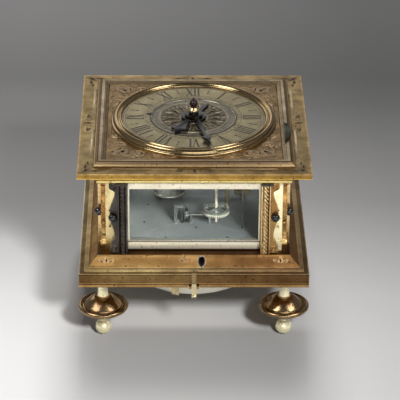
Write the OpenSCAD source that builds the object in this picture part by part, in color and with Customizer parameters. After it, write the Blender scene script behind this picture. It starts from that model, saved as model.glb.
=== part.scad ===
// Horizontal table clock: a square gilt brass case with four windows on a bottom plate
// with four turned feet, the dial on top, the movement between two plates inside, and
// the bell hung under the bottom plate. The case opens on a hinge along its back edge.
// Origin: on the floor, under the middle of the clock. +Z is up and the front is -Y.

/* [Stand] */
// Width of the square bottom plate, the base moulding and the top plate
case_w = 130; // [124:1:136]
// Height from the floor to the underside of the bottom plate
foot_h = 37.4; // [36:0.2:42]
// Thickness of the bottom plate
plate_t = 2; // [1.6:0.1:3]
// Distance of each foot's axis from the edges of the bottom plate
foot_in = 13.2; // [11:0.1:14]
// Diameter of a foot's stem
stem_d = 6; // [5:0.2:7]
// Diameter of a foot's saucer at its rim
saucer_d = 28.9; // [24:0.1:30]
// Height of the saucer's rim above the floor
saucer_z = 18.3; // [17:0.1:19]
// Diameter of the ball under a foot
ball_d = 9.3; // [8.6:0.1:10]
// How far the bell's rim stays inside the edges of the bottom plate
bell_in = 15; // [14:0.5:18]
// Depth of the bell from its rim to its crown
bell_depth = 29; // [26:0.5:30]
// Thickness of the bell's wall
bell_wall = 1.6; // [1.2:0.1:2.4]
// Diameter of the stud that carries the bell
bell_stud_d = 5; // [4:0.2:6]
// Width of the strap that holds the bell at the front
strap_w = 4.4; // [3:0.2:6]
// Thickness of the strap
strap_t = 1; // [0.8:0.1:1.4]
// Distance of the strap from the middle, towards the left
strap_at = 10.5; // [8:0.5:14]

/* [Hinge and latch] */
// Diameter of the hinge pin
hinge_pin_d = 2; // [1.6:0.1:2.4]
// Diameter of the hinge knuckles
knuckle_d = 4.4; // [4:0.1:5]
// Length of the whole hinge
hinge_l = 60; // [40:1:80]
// Length of the middle knuckle, which is the case's
hinge_mid_l = 20; // [12:1:24]
// Width of the latch
latch_w = 2.6; // [2:0.1:3.4]
// Thickness of the latch
latch_t = 1; // [0.8:0.1:1.2]
// Height of the latch above the bottom plate
latch_up = 8.4; // [7.4:0.2:10]
// Length of the latch's finger piece below the bottom plate
latch_down = 4.6; // [3:0.2:6]
// Diameter of the latch's pin
latch_pin_d = 1; // [0.8:0.1:1.2]

/* [Case] */
// Height of the base moulding
base_h = 13.2; // [12.4:0.2:16]
// Height of the base moulding's upright fascia
fascia_h = 6.3; // [5:0.1:6.6]
// Height of the body with the windows
body_h = 44.8; // [43:0.2:50]
// How far the body's faces stand back from the edges of the base moulding
body_in = 15.2; // [14.6:0.1:15.5]
// How far the base moulding and the upper frame reach in behind the body's outer faces
ledge = 2.8; // [2.6:0.1:3]
// Thickness of the corner posts' walls
post_t = 2; // [1.6:0.1:2.2]
// Width of each face of a corner post
post_w = 12.2; // [11.4:0.1:14]
// How far the upper frame's cornice stands out from the body
frieze_out = 4.7; // [4.2:0.1:6]
// Height of the upper frame
frieze_h = 8.4; // [8:0.2:11]
// Thickness of the top plate at its edge
top_t = 3; // [2:0.1:4]
// Width of the raised square field on the top plate
field_w = 98; // [97:0.5:100]
// Height of the raised field
field_h = 1.6; // [1:0.1:2]
// Width of the raised moulding round the field, over its outer edges
mould_w = 112; // [110:0.5:116]
// Width of the moulding's square section
mould_band = 6.4; // [5:0.1:6.6]
// Height of the moulding
mould_h = 2.7; // [2.2:0.1:3.4]
// Running gap between parts that face each other
gap = 0.2; // [0.15:0.05:0.25]

/* [Pilasters and windows] */
// Width of a pilaster's roped column
column_w = 5.2; // [4:0.1:6]
// How far the column stands out from the corner post
column_out = 4.7; // [4:0.1:4.7]
// How far the scrolled wing stands out from the corner post
wing_out = 2.7; // [2.2:0.1:3.6]
// Diameter of the steel ball studs
stud_ball_d = 5; // [4:0.1:5.6]
// Distance of a ball's middle from the wing's face
stud_ball_out = 1.2; // [0.8:0.1:1.8]
// Height of the ball studs above the foot of the body
stud_ball_z = 23.2; // [20:0.1:26]
// Width of the thin side stiles of a window frame
stile_w = 1; // [0.8:0.1:2]
// Height of the lower rail of a window frame
low_rail = 4.9; // [3:0.1:6]
// Height of the upper rail of a window frame
top_rail = 5.5; // [3:0.1:6.5]
// Thickness of a window frame
frame_t = 1.6; // [1.2:0.1:2]
// Thickness of the glass
glass_t = 1.2; // [1:0.1:1.6]
// Diameter of the hole in the keyhole bush
keyhole_d = 3.8; // [3:0.1:4]
// Diameter of the keyhole bush
bush_d = 4.8; // [4.6:0.1:5]
// Height of the keyhole's middle above the foot of the base moulding
keyhole_up = 10.4; // [9.8:0.1:10.4]
// Distance of the keyhole from the middle, towards the right
keyhole_at = 4.3; // [0:0.1:20]

/* [Dial and hands] */
// Outer diameter of the bezel
bezel_d = 94.8; // [92:0.2:96]
// Outer diameter of the chapter ring
chapter_d = 82; // [80:0.2:84]
// Inner diameter of the chapter ring
chapter_hole = 50; // [49:0.2:54]
// Thickness of the chapter ring
chapter_t = 2.2; // [1.2:0.1:2.2]
// Height of the bezel
bezel_h = 3.6; // [3:0.1:4.4]
// Diameter of the alarm disc
disc_d = 48.8; // [44:0.2:48.8]
// Length of the hour hand from the middle
hour_l = 37.6; // [30:0.2:38]
// Length of the alarm hand from the middle
alarm_l = 24.4; // [20:0.2:26]
// Diameter of the alarm hand's hub
hub_d = 14.4; // [12:0.2:16]
// Thickness of the hands
hand_t = 0.9; // [0.8:0.1:1.1]
// Time shown by the hour hand, in degrees clockwise from twelve
hour_turn = 166.3; // [0:0.1:360]
// Time set on the alarm hand, in degrees clockwise from twelve
alarm_turn = 207; // [0:0.1:360]
// Diameter of the hour pipe
pipe_d = 4; // [3.4:0.1:4.4]
// Diameter of the post that carries the hour hand
post_d = 3; // [2.4:0.1:3.2]

/* [Movement] */
// Thickness of the movement plates
mplate_t = 2; // [1.6:0.1:2.4]
// Height of the lower plate above the foot of the body
lower_up = 2.2; // [1.6:0.1:2.6]
// Distance between the plates
plates_gap = 38; // [37:0.2:42]
// Diameter of the plate pillars
pillar_d = 5; // [4:0.2:6]
// Distance of the plate pillars' axes from the body's outer faces
pillar_in = 8.8; // [8:0.1:10]
// Diameter of the mainspring barrel
barrel_d = 20; // [18:0.2:22]
// Height of the barrel
barrel_h = 24; // [18:0.2:27]
// Diameter of the fusee at its large end
fusee_d = 19; // [16:0.2:20]
// Diameter of the fusee at its small end
fusee_small_d = 10; // [8:0.2:12]
// Height of the fusee's cone
fusee_h = 24; // [20:0.2:26]
// Diameter of the arbors
arbor_d = 3; // [2.4:0.1:3.4]
// Diameter of the gut line
line_d = 1; // [0.8:0.1:1.1]
// Teeth of the great wheel
great_n = 60; // [54:1:66]
// Teeth of the second wheel
second_n = 50; // [40:1:56]
// Teeth of the hour wheel
hour_n = 72; // [60:12:84]
// Leaves of the pinions
pinion_n = 10; // [10:1:12]
// Leaves of the pinion that drives the hour wheel
motion_n = 12; // [10:1:14]
// Teeth of the contrate wheel
contrate_n = 40; // [32:4:40]
// Diameter of the contrate wheel
contrate_d = 15; // [14.6:0.1:15.4]
// Teeth of the escape wheel
escape_n = 15; // [11:2:17]
// Diameter of the escape wheel
escape_d = 8; // [7:0.1:8.2]
// Diameter of the balance
balance_d = 28; // [22:0.5:30]
// Thickness of the wheels
wheel_t = 1.2; // [1:0.1:1.6]
// Length of the hammer's arm
hammer_arm = 20; // [18:0.5:22]
// Diameter of the hammer's head
hammer_d = 6; // [5:0.1:6.4]

/* [Hidden] */

$fn = 96;

// Heights of the stack, from the floor up
z_base = foot_h + plate_t + gap;
z_body = z_base + base_h;
z_frieze = z_body + body_h;
z_top = z_frieze + frieze_h;
z_border = z_top + top_t;
z_field = z_border + field_h;
z_lower = z_body + lower_up;
z_floor = z_lower + mplate_t;
z_upper = z_floor + plates_gap;
z_motion = z_upper + mplate_t;

// Fits and small clearances
fit = 0.04;
seat = 0.02;
near = 0.3;

// Overlap of cuts and of joined bodies, so that no faces meet in one plane
eps = 1;
bite = 0.5;

// Widths of the body over its corner posts, of a window between them, and of the upper frame's cornice
half = case_w / 2;
body_w = case_w - 2 * body_in;
window_w = body_w - 2 * post_w;
frieze_w = body_w + 2 * frieze_out;
foot_at = half - foot_in;
cavity = body_w / 2 - ledge;
cavity_w = 2 * cavity;

// Feet: the ball's flat, the neck inside the saucer, the collar on it, and the saucer's own depths
ball_r = ball_d / 2;
ball_z = ball_r - 0.2;
neck_r = stem_d / 4 + 0.5;
collar_z = saucer_z + 6;
rim_r = 1.3;
dome_r = 4;
saucer_low = saucer_z - 7.2;

// Base moulding: the fillet above the fascia, the step behind it and the lugs in the corners
fillet_in = 3;
fillet_h = 1.2;
fillet_w = 1.8;
slope_step = 0.6;
slope_z = z_base + fascia_h + fillet_h;
slope_steps = 8;
lug_l = 7;
lug_down = 3;
keyhole_z = z_base + keyhole_up;
bush_out = 0.3;

// Bell: it hangs by its stud, a little below the bottom plate
bell_gap = 1;
bell_rim_z = foot_h - bell_gap;
bell_r = half - bell_in;
stud_r = bell_stud_d / 2;
washer_r = 9;
washer_t = 1.2;
nut_t = 3;
nut_w = 8;
bell_steps = 20;
shank = 0.8;
strap_fold = 6;
strap_reach = 14;

// Hinge of the case, behind the back edge
knuckle_r = knuckle_d / 2;
hinge_y = half + knuckle_r + near;
hinge_z = z_base - gap / 2;
leaf_t = plate_t - gap / 2;
pin_out = 0.6;

// Latch at the front edge of the bottom plate
latch_y = -half - 1.4;
latch_z = foot_h + plate_t / 2;
lug_w = 1.6;
nose_h = 1.6;
nose_down = 2;

// Movement plates, just inside the glass, and the places of the pillars and arbors on them
plate_r = body_w / 2 - 2 * gap - frame_t - glass_t;
pillar_at = body_w / 2 - pillar_in;
layout_r = 46.6;
layout = plate_r / layout_r;
fusee_xy = layout * [29, 5];
barrel_xy = layout * [-14, 9];
second_xy = layout * [19.5, -11];
contrate_xy = layout * [13, -23];
rod_xy = layout * [28, -30.7];
rod_d = 1.2;

// Gears take their module from the distance of their arbors
great_m = 2 * norm(fusee_xy - second_xy) / (great_n + pinion_n);
second_m = 2 * norm(second_xy - contrate_xy) / (second_n + pinion_n);
motion_m = 2 * norm(fusee_xy) / (hour_n + motion_n);
tooth_share = 0.36;
tip_share = 0.75;
root_share = 1.25;

// Heights in the movement
great_z = z_upper - 4.4;
second_z = great_z - 3;
fusee_z = second_z - 2 - fusee_h;
barrel_z = z_floor + 3;
band_h = 1.4;
pinion_up = 0.4;
key_w = 2.4;
key_l = 4.5;
hour_z = z_motion + 2;
contrate_z = z_floor + 8;
contrate_rim = 3;
contrate_tooth = 1.2;
rim_w = 0.6;
pinion_r = 2;
mesh_depth = 0.45;
escape_z = contrate_z - contrate_rim + wheel_t + mesh_depth - pinion_r;

// Escapement, along the line of the contrate wheel's middle
escape_y = contrate_xy.y;
pinion_x = contrate_xy.x - contrate_d / 2 + rim_w / 2;
escape_x = -3;
crown_l = 2.2;
thin_r = 0.6;
verge_r = 0.8;
verge_x = escape_x - crown_l - 1.4;
verge_top = z_floor + 10.5;
cock_z = z_base + 3;
cock_t = 1.6;
balance_z = cock_z + 3.6;
potence_w = 4;
tenon_r = pillar_d * 0.3;

// Hammer: its head moves on a small arc about a pivot beside it
bell_inner_r = bell_r - bell_wall;
hammer_drop = 11;
head_h = 7;
head_z = bell_rim_z - hammer_drop;
head_low = hammer_drop + head_h / 2;
head_reach = bell_inner_r * sqrt(1 - pow(head_low / (bell_depth - bell_wall), 2)) - hammer_d / 2 - 1;
hammer_way = 135;
hammer_xy = head_reach * [cos(hammer_way), sin(hammer_way)];
pivot_xy = hammer_xy + hammer_arm * [cos(hammer_way - 90), sin(hammer_way - 90)];
hammer_arm_z = z_base + 3.4;
slot_w = 12.4;
slot_in = 1.6;
hammer_stem_d = 2.4;
arm_t = 3;
arm_w = 2;

// Place of a ball stud on its wing, and its shank
stud_at = 2.9;
stud_shank_d = stud_ball_d * 0.36;

// Catch: its straight side's place on the moulding, its size, and its rivet near the back end
catch_in = 4.8;
catch_y = -17.6;
catch_l = 25;
catch_w = 4.2;
catch_t = 1.2;
catch_r = (catch_l * catch_l / 4 + catch_w * catch_w) / (2 * catch_w);
rivet_in = 1.3;
rivet_at = catch_l / 2 - 4.2;
rivet_r = 0.9;
rivet_h = 1.7;

// Heights of the hands above the top plate
disc_z = z_field + 0.1;
disc_t = chapter_t - 0.3;
hub_t = hand_t + 0.1;
alarm_z = z_field + chapter_t + 0.1;
hand_z = alarm_z + hub_t + gap;
boss_h = 2.6;
boss_r = post_d / 2 + 1.3;
finial_z = hand_z + boss_h + seat;
sleeve_r = pipe_d / 2 + 1.2;
post_up = 1.5;

// Gut line: wound on the fusee, straight across to the barrel and wound on it
line_r = line_d / 2;
line_turns = 6;
barrel_turns = 2;
ring_count = 24;
line_sides = 6;
line_top = barrel_z + barrel_h - 2.4;
line_low = fusee_z + 1.4;
barrel_pitch = 1.9;

// Colours as the photograph shows them
gilt = "#8a6428";
pale_gold = "#e2c981";
bronze = "#6e4a22";
silvered = "#c2c0b0";
steel = "#26262b";
clear_glass = [0.75, 0.85, 0.85, 0.35];
ivory = "#ddd6bd";
gut = "#b8985a";

// Points of a smooth S between two points, level at both ends
function ease(a, b, n) = [for (i = [0:n]) let (t = i / n)
    [a.x + (b.x - a.x) * t, a.y + (b.y - a.y) * (1 - cos(180 * t)) / 2]];

// Points of an arc about c, from angle a to angle b
function arc(c, r, a, b, n) = [for (i = [0:n]) let (t = a + (b - a) * i / n) c + r * [cos(t), sin(t)]];

// The same points in the opposite order
function back(p) = [for (i = [len(p) - 1:-1:0]) p[i]];

// Turn of a wheel with nb teeth that meshes at direction th with a wheel of na teeth turned by ra
function mesh_turn(th, na, ra, nb) = th + 180 - 360 / nb * (0.5 - (th - ra) * na / 360);

// Direction from one point to another
function way(a, b) = atan2(b.y - a.y, b.x - a.x);

// Solid whose level cuts are squares, with the half width and height of each point of a profile
module squares(profile) {
    full = concat(profile, [for (p = back(profile)) [-p.x, p.y]]);
    span = 2 * max([for (p = profile) p.x]) + 1;
    intersection() {
        rotate([90, 0, 0]) linear_extrude(span, center = true) polygon(full);
        rotate([90, 0, 90]) linear_extrude(span, center = true) polygon(full);
    }
}

// Square hole of a width, right through a body that stands on z and is h high
module square_hole(w, z, h) {
    translate([-w / 2, -w / 2, z - eps]) cube([w, w, h + 2 * eps]);
}

// Outline of a wheel with n teeth of module m
module teeth(n, m) {
    r = n * m / 2;
    pitch = 360 / n;
    root = r - root_share * m;
    tip = r + tip_share * m;
    tooth = [[root, -0.32], [tip, -tooth_share / 4], [tip, tooth_share / 4], [root, 0.32]];
    polygon([for (i = [0:n - 1], c = tooth) c[0] * [cos((i + c[1]) * pitch), sin((i + c[1]) * pitch)]]);
}

// Toothed wheel with four arms, and its middle left solid
module crossed_wheel(n, m, h, hub) {
    r = n * m / 2;
    inner = r - root_share * m - 1.4;
    linear_extrude(h) difference() {
        teeth(n, m);
        difference() {
            circle(inner);
            circle(hub);
            for (a = [0, 90]) rotate(a) square([2 * r, 1.8], center = true);
        }
    }
}

// Arbor from z to z + h with a short pivot at each end that runs in a plate
module arbor(z, h, r) {
    translate([0, 0, z + near]) cylinder(h = h - 2 * near, r = r);
    translate([0, 0, z - mplate_t + near]) cylinder(h = h + 2 * mplate_t - 2 * near, r = r / 2);
}

// Round hole through a plate whose underside is at z
module plate_bore(xy, r, z) {
    translate([xy.x, xy.y, z - eps]) cylinder(h = mplate_t + 2 * eps, r = r);
}

// Bottom plate: the feet, the stud and the latch are fixed in it, and the hammer reaches through it
module bottom_plate() {
    latch_gap = latch_w + 2 * fit;
    color(gilt) difference() {
        union() {
            translate([-half, -half, foot_h]) cube([case_w, case_w, plate_t]);
            for (s = [-1, 1]) translate([s * (latch_gap + lug_w) / 2 - lug_w / 2, latch_y, foot_h])
                cube([lug_w, -half - latch_y + eps, plate_t]);
            translate([0, latch_y, latch_z]) rotate([0, 90, 0])
                cylinder(h = latch_gap + 2 * lug_w, d = plate_t, center = true);
        }
        translate([0, latch_y - plate_t, latch_z]) cube([latch_gap, 4 * plate_t, 2 * plate_t], center = true);
        translate([0, latch_y, latch_z]) rotate([0, 90, 0])
            cylinder(h = 3 * latch_w + 2 * lug_w, d = latch_pin_d + 2 * fit, center = true);
        for (x = [-1, 1], y = [-1, 1]) translate([x * foot_at, y * foot_at, foot_h - eps])
            cylinder(h = plate_t + 2 * eps, r = stem_d / 4 + seat);
        translate([0, 0, foot_h - eps]) cylinder(h = plate_t + 2 * eps, r = stud_r * shank + seat);
        translate([hammer_xy.x, hammer_xy.y, foot_h + plate_t / 2]) rotate(hammer_way)
            translate([-slot_in, 0, 0]) cube([slot_w, slot_w, 2 * plate_t], center = true);
    }
}

// Spindle of a foot, turned in one: the ball on the floor, the neck, the collar, the stem and its tenon
module foot_spindle(x, y) {
    neck_turn = acos(neck_r / ball_r);
    collar = stem_d / 2 * [[1.24, 0], [1.36, 0.8 / 3], [1.2, 1.7 / 3], [1, 2 / 3]];
    color(pale_gold) translate([x, y, 0]) rotate_extrude() polygon(concat(
        [[0, 0]], arc([0, ball_z], ball_r, -asin(ball_z / ball_r), neck_turn, 16),
        [[neck_r, collar_z]], [for (c = collar) [c.x, collar_z + c.y]],
        [[stem_d / 2, foot_h], [stem_d / 4, foot_h], [stem_d / 4, foot_h + plate_t], [0, foot_h + plate_t]]));
}

// Saucer of a foot, held between the spindle's collar and the ball
module foot_saucer(x, y) {
    r = saucer_d / 2;
    bore = neck_r + seat;
    seat_r = stem_d * 0.75;
    color(bronze) translate([x, y, 0]) rotate_extrude() polygon(concat(
        [[bore, collar_z], [seat_r, collar_z]],
        arc([seat_r, collar_z - dome_r], dome_r, 90, 45, 6),
        ease([r - 3.4, saucer_z + 1.1], [r - 2.2, saucer_z + 0.8], 2),
        arc([r - rim_r, saucer_z], rim_r, 80, -80, 10),
        back(ease([bore + 2, saucer_low], [r - 3, saucer_z - 2], 8)),
        [[bore, saucer_low]]));
}

// Height of the bell's outer or inner face at a distance from its axis
function bell_at(r, wall) = bell_rim_z - (bell_depth - wall) * sqrt(max(0, 1 - pow(r / (bell_r - wall), 2)));

// Points of the bell's outer or inner face, from the stud to the rim
function bell_face(wall, from) = [for (i = [0:bell_steps])
    let (t = acos(from / (bell_r - wall)) * (1 - i / bell_steps))
    [(bell_r - wall) * cos(t), bell_rim_z - (bell_depth - wall) * sin(t)]];

// Bell: a shallow dome with its mouth up
module bell() {
    bore = stud_r + seat;
    color(ivory) rotate_extrude() polygon(concat(
        bell_face(0, bore), back(bell_face(bell_wall, bore))));
}

// Stud that carries the bell: a tenon in the bottom plate, a shank, a shoulder and a threaded end
module bell_stud() {
    crown = bell_at(stud_r * 2, bell_wall);
    color(pale_gold) rotate_extrude() polygon([[0, foot_h + plate_t], [stud_r * shank, foot_h + plate_t],
        [stud_r * shank, foot_h], [stud_r * 2, foot_h], [stud_r * 2, foot_h - 1.5], [stud_r * 1.2, foot_h - 3],
        [stud_r * 1.2, crown + 4], [stud_r * 2, crown + 2], [stud_r * 2, crown + seat],
        [stud_r, crown + seat], [stud_r, bell_rim_z - bell_depth - washer_t - nut_t + 0.4],
        [0, bell_rim_z - bell_depth - washer_t - nut_t]]);
}

// Washer and square nut under the bell
module bell_nut() {
    low = bell_rim_z - bell_depth - washer_t;
    ring = [for (i = [0:6]) washer_r * i / 6];
    color(pale_gold) difference() {
        union() {
            rotate_extrude() polygon(concat([[0, low]], [for (r = ring) [r, bell_at(r, 0) - washer_t]],
                [for (r = back(ring)) [r, bell_at(r, 0) - seat]]));
            translate([-nut_w / 2, -nut_w / 2, low - nut_t + bite]) cube([nut_w, nut_w, nut_t - bite / 2]);
        }
        translate([0, 0, low - nut_t]) cylinder(h = nut_t + washer_t + 4 * eps, r = stud_r + seat);
    }
}

// Strap that runs from the bottom plate down round the front of the bell
module bell_strap() {
    shell = bell_r + near;
    far = bell_r + 10;
    color(pale_gold) {
        intersection() {
            rotate_extrude() polygon(concat(bell_face(-near, 1), [[shell, foot_h], [shell + strap_t, foot_h]],
                back(bell_face(-near - strap_t, 1))));
            translate([-strap_at - strap_w / 2, -far, 0]) cube([strap_w, far - strap_reach, foot_h]);
        }
        translate([-strap_at - strap_w / 2, -bell_r - strap_fold, foot_h - strap_t])
            cube([strap_w, strap_fold + 2, strap_t]);
    }
}

// Hinge knuckle along X
module knuckle(x, l) {
    translate([x, hinge_y, hinge_z]) rotate([0, 90, 0]) cylinder(h = l, d = knuckle_d);
}

// Bore for the hinge pin
module hinge_bore() {
    translate([-hinge_l, hinge_y, hinge_z]) rotate([0, 90, 0])
        cylinder(h = 2 * hinge_l, d = hinge_pin_d + 2 * fit);
}

// Hinge leaf with two knuckles, fixed to the bottom plate's back edge
module base_hinge_leaf() {
    side = (hinge_l - hinge_mid_l) / 2;
    color(gilt) difference() {
        union() for (s = [0, 1]) {
            x = s == 0 ? -hinge_l / 2 : hinge_mid_l / 2;
            knuckle(x, side);
            translate([x, half, foot_h]) cube([side, hinge_y - half, leaf_t]);
        }
        hinge_bore();
    }
}

// Hinge leaf with the middle knuckle, fixed to the back of the base moulding
module case_hinge_leaf() {
    l = hinge_mid_l - 2 * gap;
    color(gilt) difference() {
        union() {
            knuckle(-l / 2, l);
            translate([-l / 2, half, z_base + gap]) cube([l, hinge_y - half, fascia_h - 1]);
        }
        hinge_bore();
    }
}

// Hinge pin
module hinge_pin() {
    color(steel) translate([-hinge_l / 2 - pin_out, hinge_y, hinge_z]) rotate([0, 90, 0])
        cylinder(h = hinge_l + 2 * pin_out, d = hinge_pin_d);
}

// Latch: a springy strip on a pin, whose nose bears on the fascia of the base moulding
module latch() {
    top = foot_h + plate_t + latch_up;
    low = foot_h - latch_down;
    color(pale_gold) {
        translate([-latch_w / 2, latch_y - latch_t / 2, low]) cube([latch_w, latch_t, top - low]);
        translate([-latch_w / 2, latch_y, z_base + fascia_h - nose_down])
            cube([latch_w, -half - latch_y - gap / 2, nose_h]);
        translate([0, latch_y, latch_z]) rotate([0, 90, 0])
            cylinder(h = latch_w + 2 * lug_w + 2 * gap, d = latch_pin_d, center = true);
        translate([0, latch_y - latch_t / 2, low]) rotate([0, 90, 0])
            cylinder(h = latch_w, r = latch_t, center = true);
    }
}

// Outline of the base moulding's outer face, moved outwards by a length
function base_face(out) = let (fillet = half - fillet_in) concat(
    [[half, z_base], [half, z_base + fascia_h], [fillet + out, z_base + fascia_h], [fillet + out, slope_z],
     [fillet - fillet_w + out, slope_z]],
    [for (p = ease([0, fillet - fillet_w - slope_step], [1, frieze_w / 2], slope_steps))
        [p.y + out, slope_z + p.x * (z_body - slope_z)]]);

// Drop of a diameter and length along Y, with its point down
module drop(d, l) {
    translate([keyhole_at, -half - eps, keyhole_z]) rotate([-90, 0, 0]) {
        cylinder(h = l, d = d);
        rotate(45) cube([d / 2, d / 2, l]);
    }
}

// Base moulding: a square frame with an upright fascia, a fillet and an S-shaped slope,
// and a lug in each inner corner that carries the lower movement plate
module base_moulding() {
    lug_h = lower_up + lug_down;
    color(gilt) difference() {
        squares(base_face(0));
        square_hole(cavity_w, z_base, base_h);
        drop(bush_d + 2 * seat, half - cavity + 2 * eps);
    }
    color(gilt) for (x = [-1, 1], y = [-1, 1])
        translate([x * (cavity - lug_l / 2 + seat), y * (cavity - lug_l / 2 + seat), z_lower - lug_h / 2])
            cube([lug_l, lug_l, lug_h], center = true);
}

// Bush of the keyhole, which stands a little proud of the front slope all round
module keyhole_bush() {
    color(silvered) intersection() {
        squares(base_face(bush_out));
        difference() {
            drop(bush_d, half - cavity + eps);
            translate([0, -eps, 0]) drop(keyhole_d, half);
        }
    }
}

// Corner post: an upright of L section
module corner_post(sx, sy) {
    outer = body_w / 2;
    inner = post_w - post_t + eps;
    color(pale_gold) translate([sx > 0 ? outer - post_w : -outer, sy > 0 ? outer - post_w : -outer, z_body])
        difference() {
            cube([post_w, post_w, body_h]);
            translate([sx > 0 ? -eps : post_t, sy > 0 ? -eps : post_t, -eps])
                cube([inner, inner, body_h + 2 * eps]);
        }
}

// Outline of a pilaster's scrolled wing: how wide it is at each height, joined by smooth curves
function wing_outline() = let (
    h = body_h,
    wide = 5,
    stations = [[0, 4.6], [3, 4.9], [6.4, 3.6], [9.5, 1.8],
        [h * 0.56, 4.7], [h - 6.4, 1.6], [h - 3.6, 4.9], [h, wide]])
    concat([[0, 0]], [for (i = [0:len(stations) - 2], k = [0:4])
        let (a = stations[i], b = stations[i + 1], t = k / 5)
        [a[1] + (b[1] - a[1]) * (1 - cos(180 * t)) / 2, a[0] + (b[0] - a[0]) * t]], [[wide, h], [0, h]]);

// One pilaster on the front face, on the right: the column with its wing towards the corner
module pilaster() {
    face = body_w / 2;
    translate([window_w / 2, -face, z_body]) {
        translate([0, -column_out, 0]) cube([column_w, column_out, body_h]);
        translate([column_w, 0, 0]) rotate([90, 0, 0]) linear_extrude(wing_out) difference() {
            polygon(wing_outline());
            translate([stud_at, stud_ball_z]) circle(d = stud_shank_d + 2 * seat);
        }
    }
}

// The two pilasters of one corner, one on each face
module pilasters(sx, sy) {
    color(gilt) mirror([sx < 0 ? 1 : 0, 0, 0]) mirror([0, sy > 0 ? 1 : 0, 0]) {
        pilaster();
        mirror([1, 1, 0]) pilaster();
    }
}

// Steel ball studs on the wings: each ball is flat where it sits on the wing, and its shank goes through it
module ball_studs() {
    face = body_w / 2 + wing_out;
    color(steel) for (a = [0:90:270], s = [-1, 1]) rotate(a)
        translate([s * (window_w / 2 + column_w + stud_at), -face, z_body + stud_ball_z]) {
            difference() {
                translate([0, -stud_ball_out, 0]) sphere(d = stud_ball_d);
                translate([-stud_ball_d, -seat, -stud_ball_d]) cube(2 * stud_ball_d);
            }
            translate([0, -bite, 0]) rotate([-90, 0, 0]) cylinder(h = wing_out, d = stud_shank_d);
        }
}

// Frame of a window, on the side that angle a turns the front to
module window_frame(a) {
    w = window_w - 2 * gap;
    face = body_w / 2 - gap;
    low = z_body + gap;
    h = body_h - 2 * gap;
    sill = low_rail + frame_t;
    color(ivory) rotate(a) difference() {
        translate([-w / 2, -face, low]) cube([w, frame_t, h]);
        translate([-w / 2 + stile_w, -face - eps, low + sill])
            cube([w - 2 * stile_w, frame_t + 2 * eps, h - sill - top_rail]);
    }
}

// Pane of glass behind a window frame
module glass(a) {
    w = window_w - 2 * gap;
    color(clear_glass) rotate(a) translate([-w / 2, -body_w / 2 + gap + frame_t, z_body + gap])
        cube([w, glass_t, body_h - 2 * gap]);
}

// Upper frame: a square frieze with a small cornice above and a fillet below
module upper_frame() {
    outer = frieze_w / 2;
    band = 1;
    color(pale_gold) difference() {
        squares([[outer - 0.8, z_frieze], [outer, z_frieze + 0.8], [outer, z_frieze + 2.2],
            [outer - band, z_frieze + 2.8], [outer - band, z_top - 2 * band],
            [outer, z_top - band], [outer, z_top]]);
        square_hole(cavity_w, z_frieze, frieze_h);
    }
}

// Top plate with its raised square field, and the bore for the hour pipe
module top_plate() {
    color(gilt) difference() {
        union() {
            translate([-half, -half, z_top]) cube([case_w, case_w, top_t]);
            translate([-field_w / 2, -field_w / 2, z_top]) cube([field_w, field_w, top_t + field_h]);
        }
        translate([0, 0, z_top - eps]) cylinder(h = top_t + field_h + 2 * eps, r = pipe_d / 2 + fit);
    }
}

// Raised moulding round the field
module top_moulding() {
    outer = mould_w / 2;
    inner = max(outer - mould_band, field_w / 2 + seat);
    color(gilt) difference() {
        squares([[outer, z_border], [outer, z_border + 0.7], [outer - 0.7, z_border + 1.2],
            [outer - 1.2, z_border + mould_h * 0.75], [outer - 2, z_border + mould_h]]);
        squares([[inner, z_border - 1], [inner, z_border + field_h], [inner + 0.8, z_border + mould_h * 0.7],
            [inner + 1.6, z_border + mould_h], [inner + 1.6, z_border + mould_h + 1]]);
    }
}

// Catch on the right of the top moulding, a segment of a disc that turns on its rivet
module top_catch() {
    color(steel) translate([mould_w / 2 - catch_in, catch_y, z_border + mould_h + seat]) {
        intersection() {
            translate([catch_w - catch_r, 0, 0]) cylinder(h = catch_t, r = catch_r);
            translate([0, -catch_l, 0]) cube([2 * catch_w, 2 * catch_l, catch_t]);
        }
        translate([rivet_in, rivet_at, 0]) cylinder(h = rivet_h, r = rivet_r);
    }
}

// Bezel: a rounded ring round the chapter ring
module bezel() {
    outer = bezel_d / 2;
    inner = chapter_d / 2 + gap;
    color(pale_gold) translate([0, 0, z_field]) rotate_extrude() polygon(concat(
        [[inner, 0], [outer, 0], [outer, 0.8]],
        arc([outer - bezel_h + 0.8, 0.8], bezel_h - 0.8, 0, 90, 8),
        [[inner + 0.8, bezel_h], [inner, bezel_h - 0.6]]));
}

// Chapter ring, whose numerals are engraved
module chapter_ring() {
    color(silvered) translate([0, 0, z_field]) difference() {
        cylinder(h = chapter_t, d = chapter_d);
        translate([0, 0, -eps]) cylinder(h = chapter_t + 2 * eps, d = chapter_hole);
    }
}

// Alarm disc with the sleeve that carries the alarm hand
module alarm_disc() {
    color(silvered) difference() {
        union() {
            translate([0, 0, disc_z]) cylinder(h = disc_t, d = disc_d);
            translate([0, 0, disc_z]) cylinder(h = alarm_z - disc_z, r = sleeve_r);
        }
        translate([0, 0, disc_z - eps]) cylinder(h = alarm_z, r = pipe_d / 2 + fit);
    }
}

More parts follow.
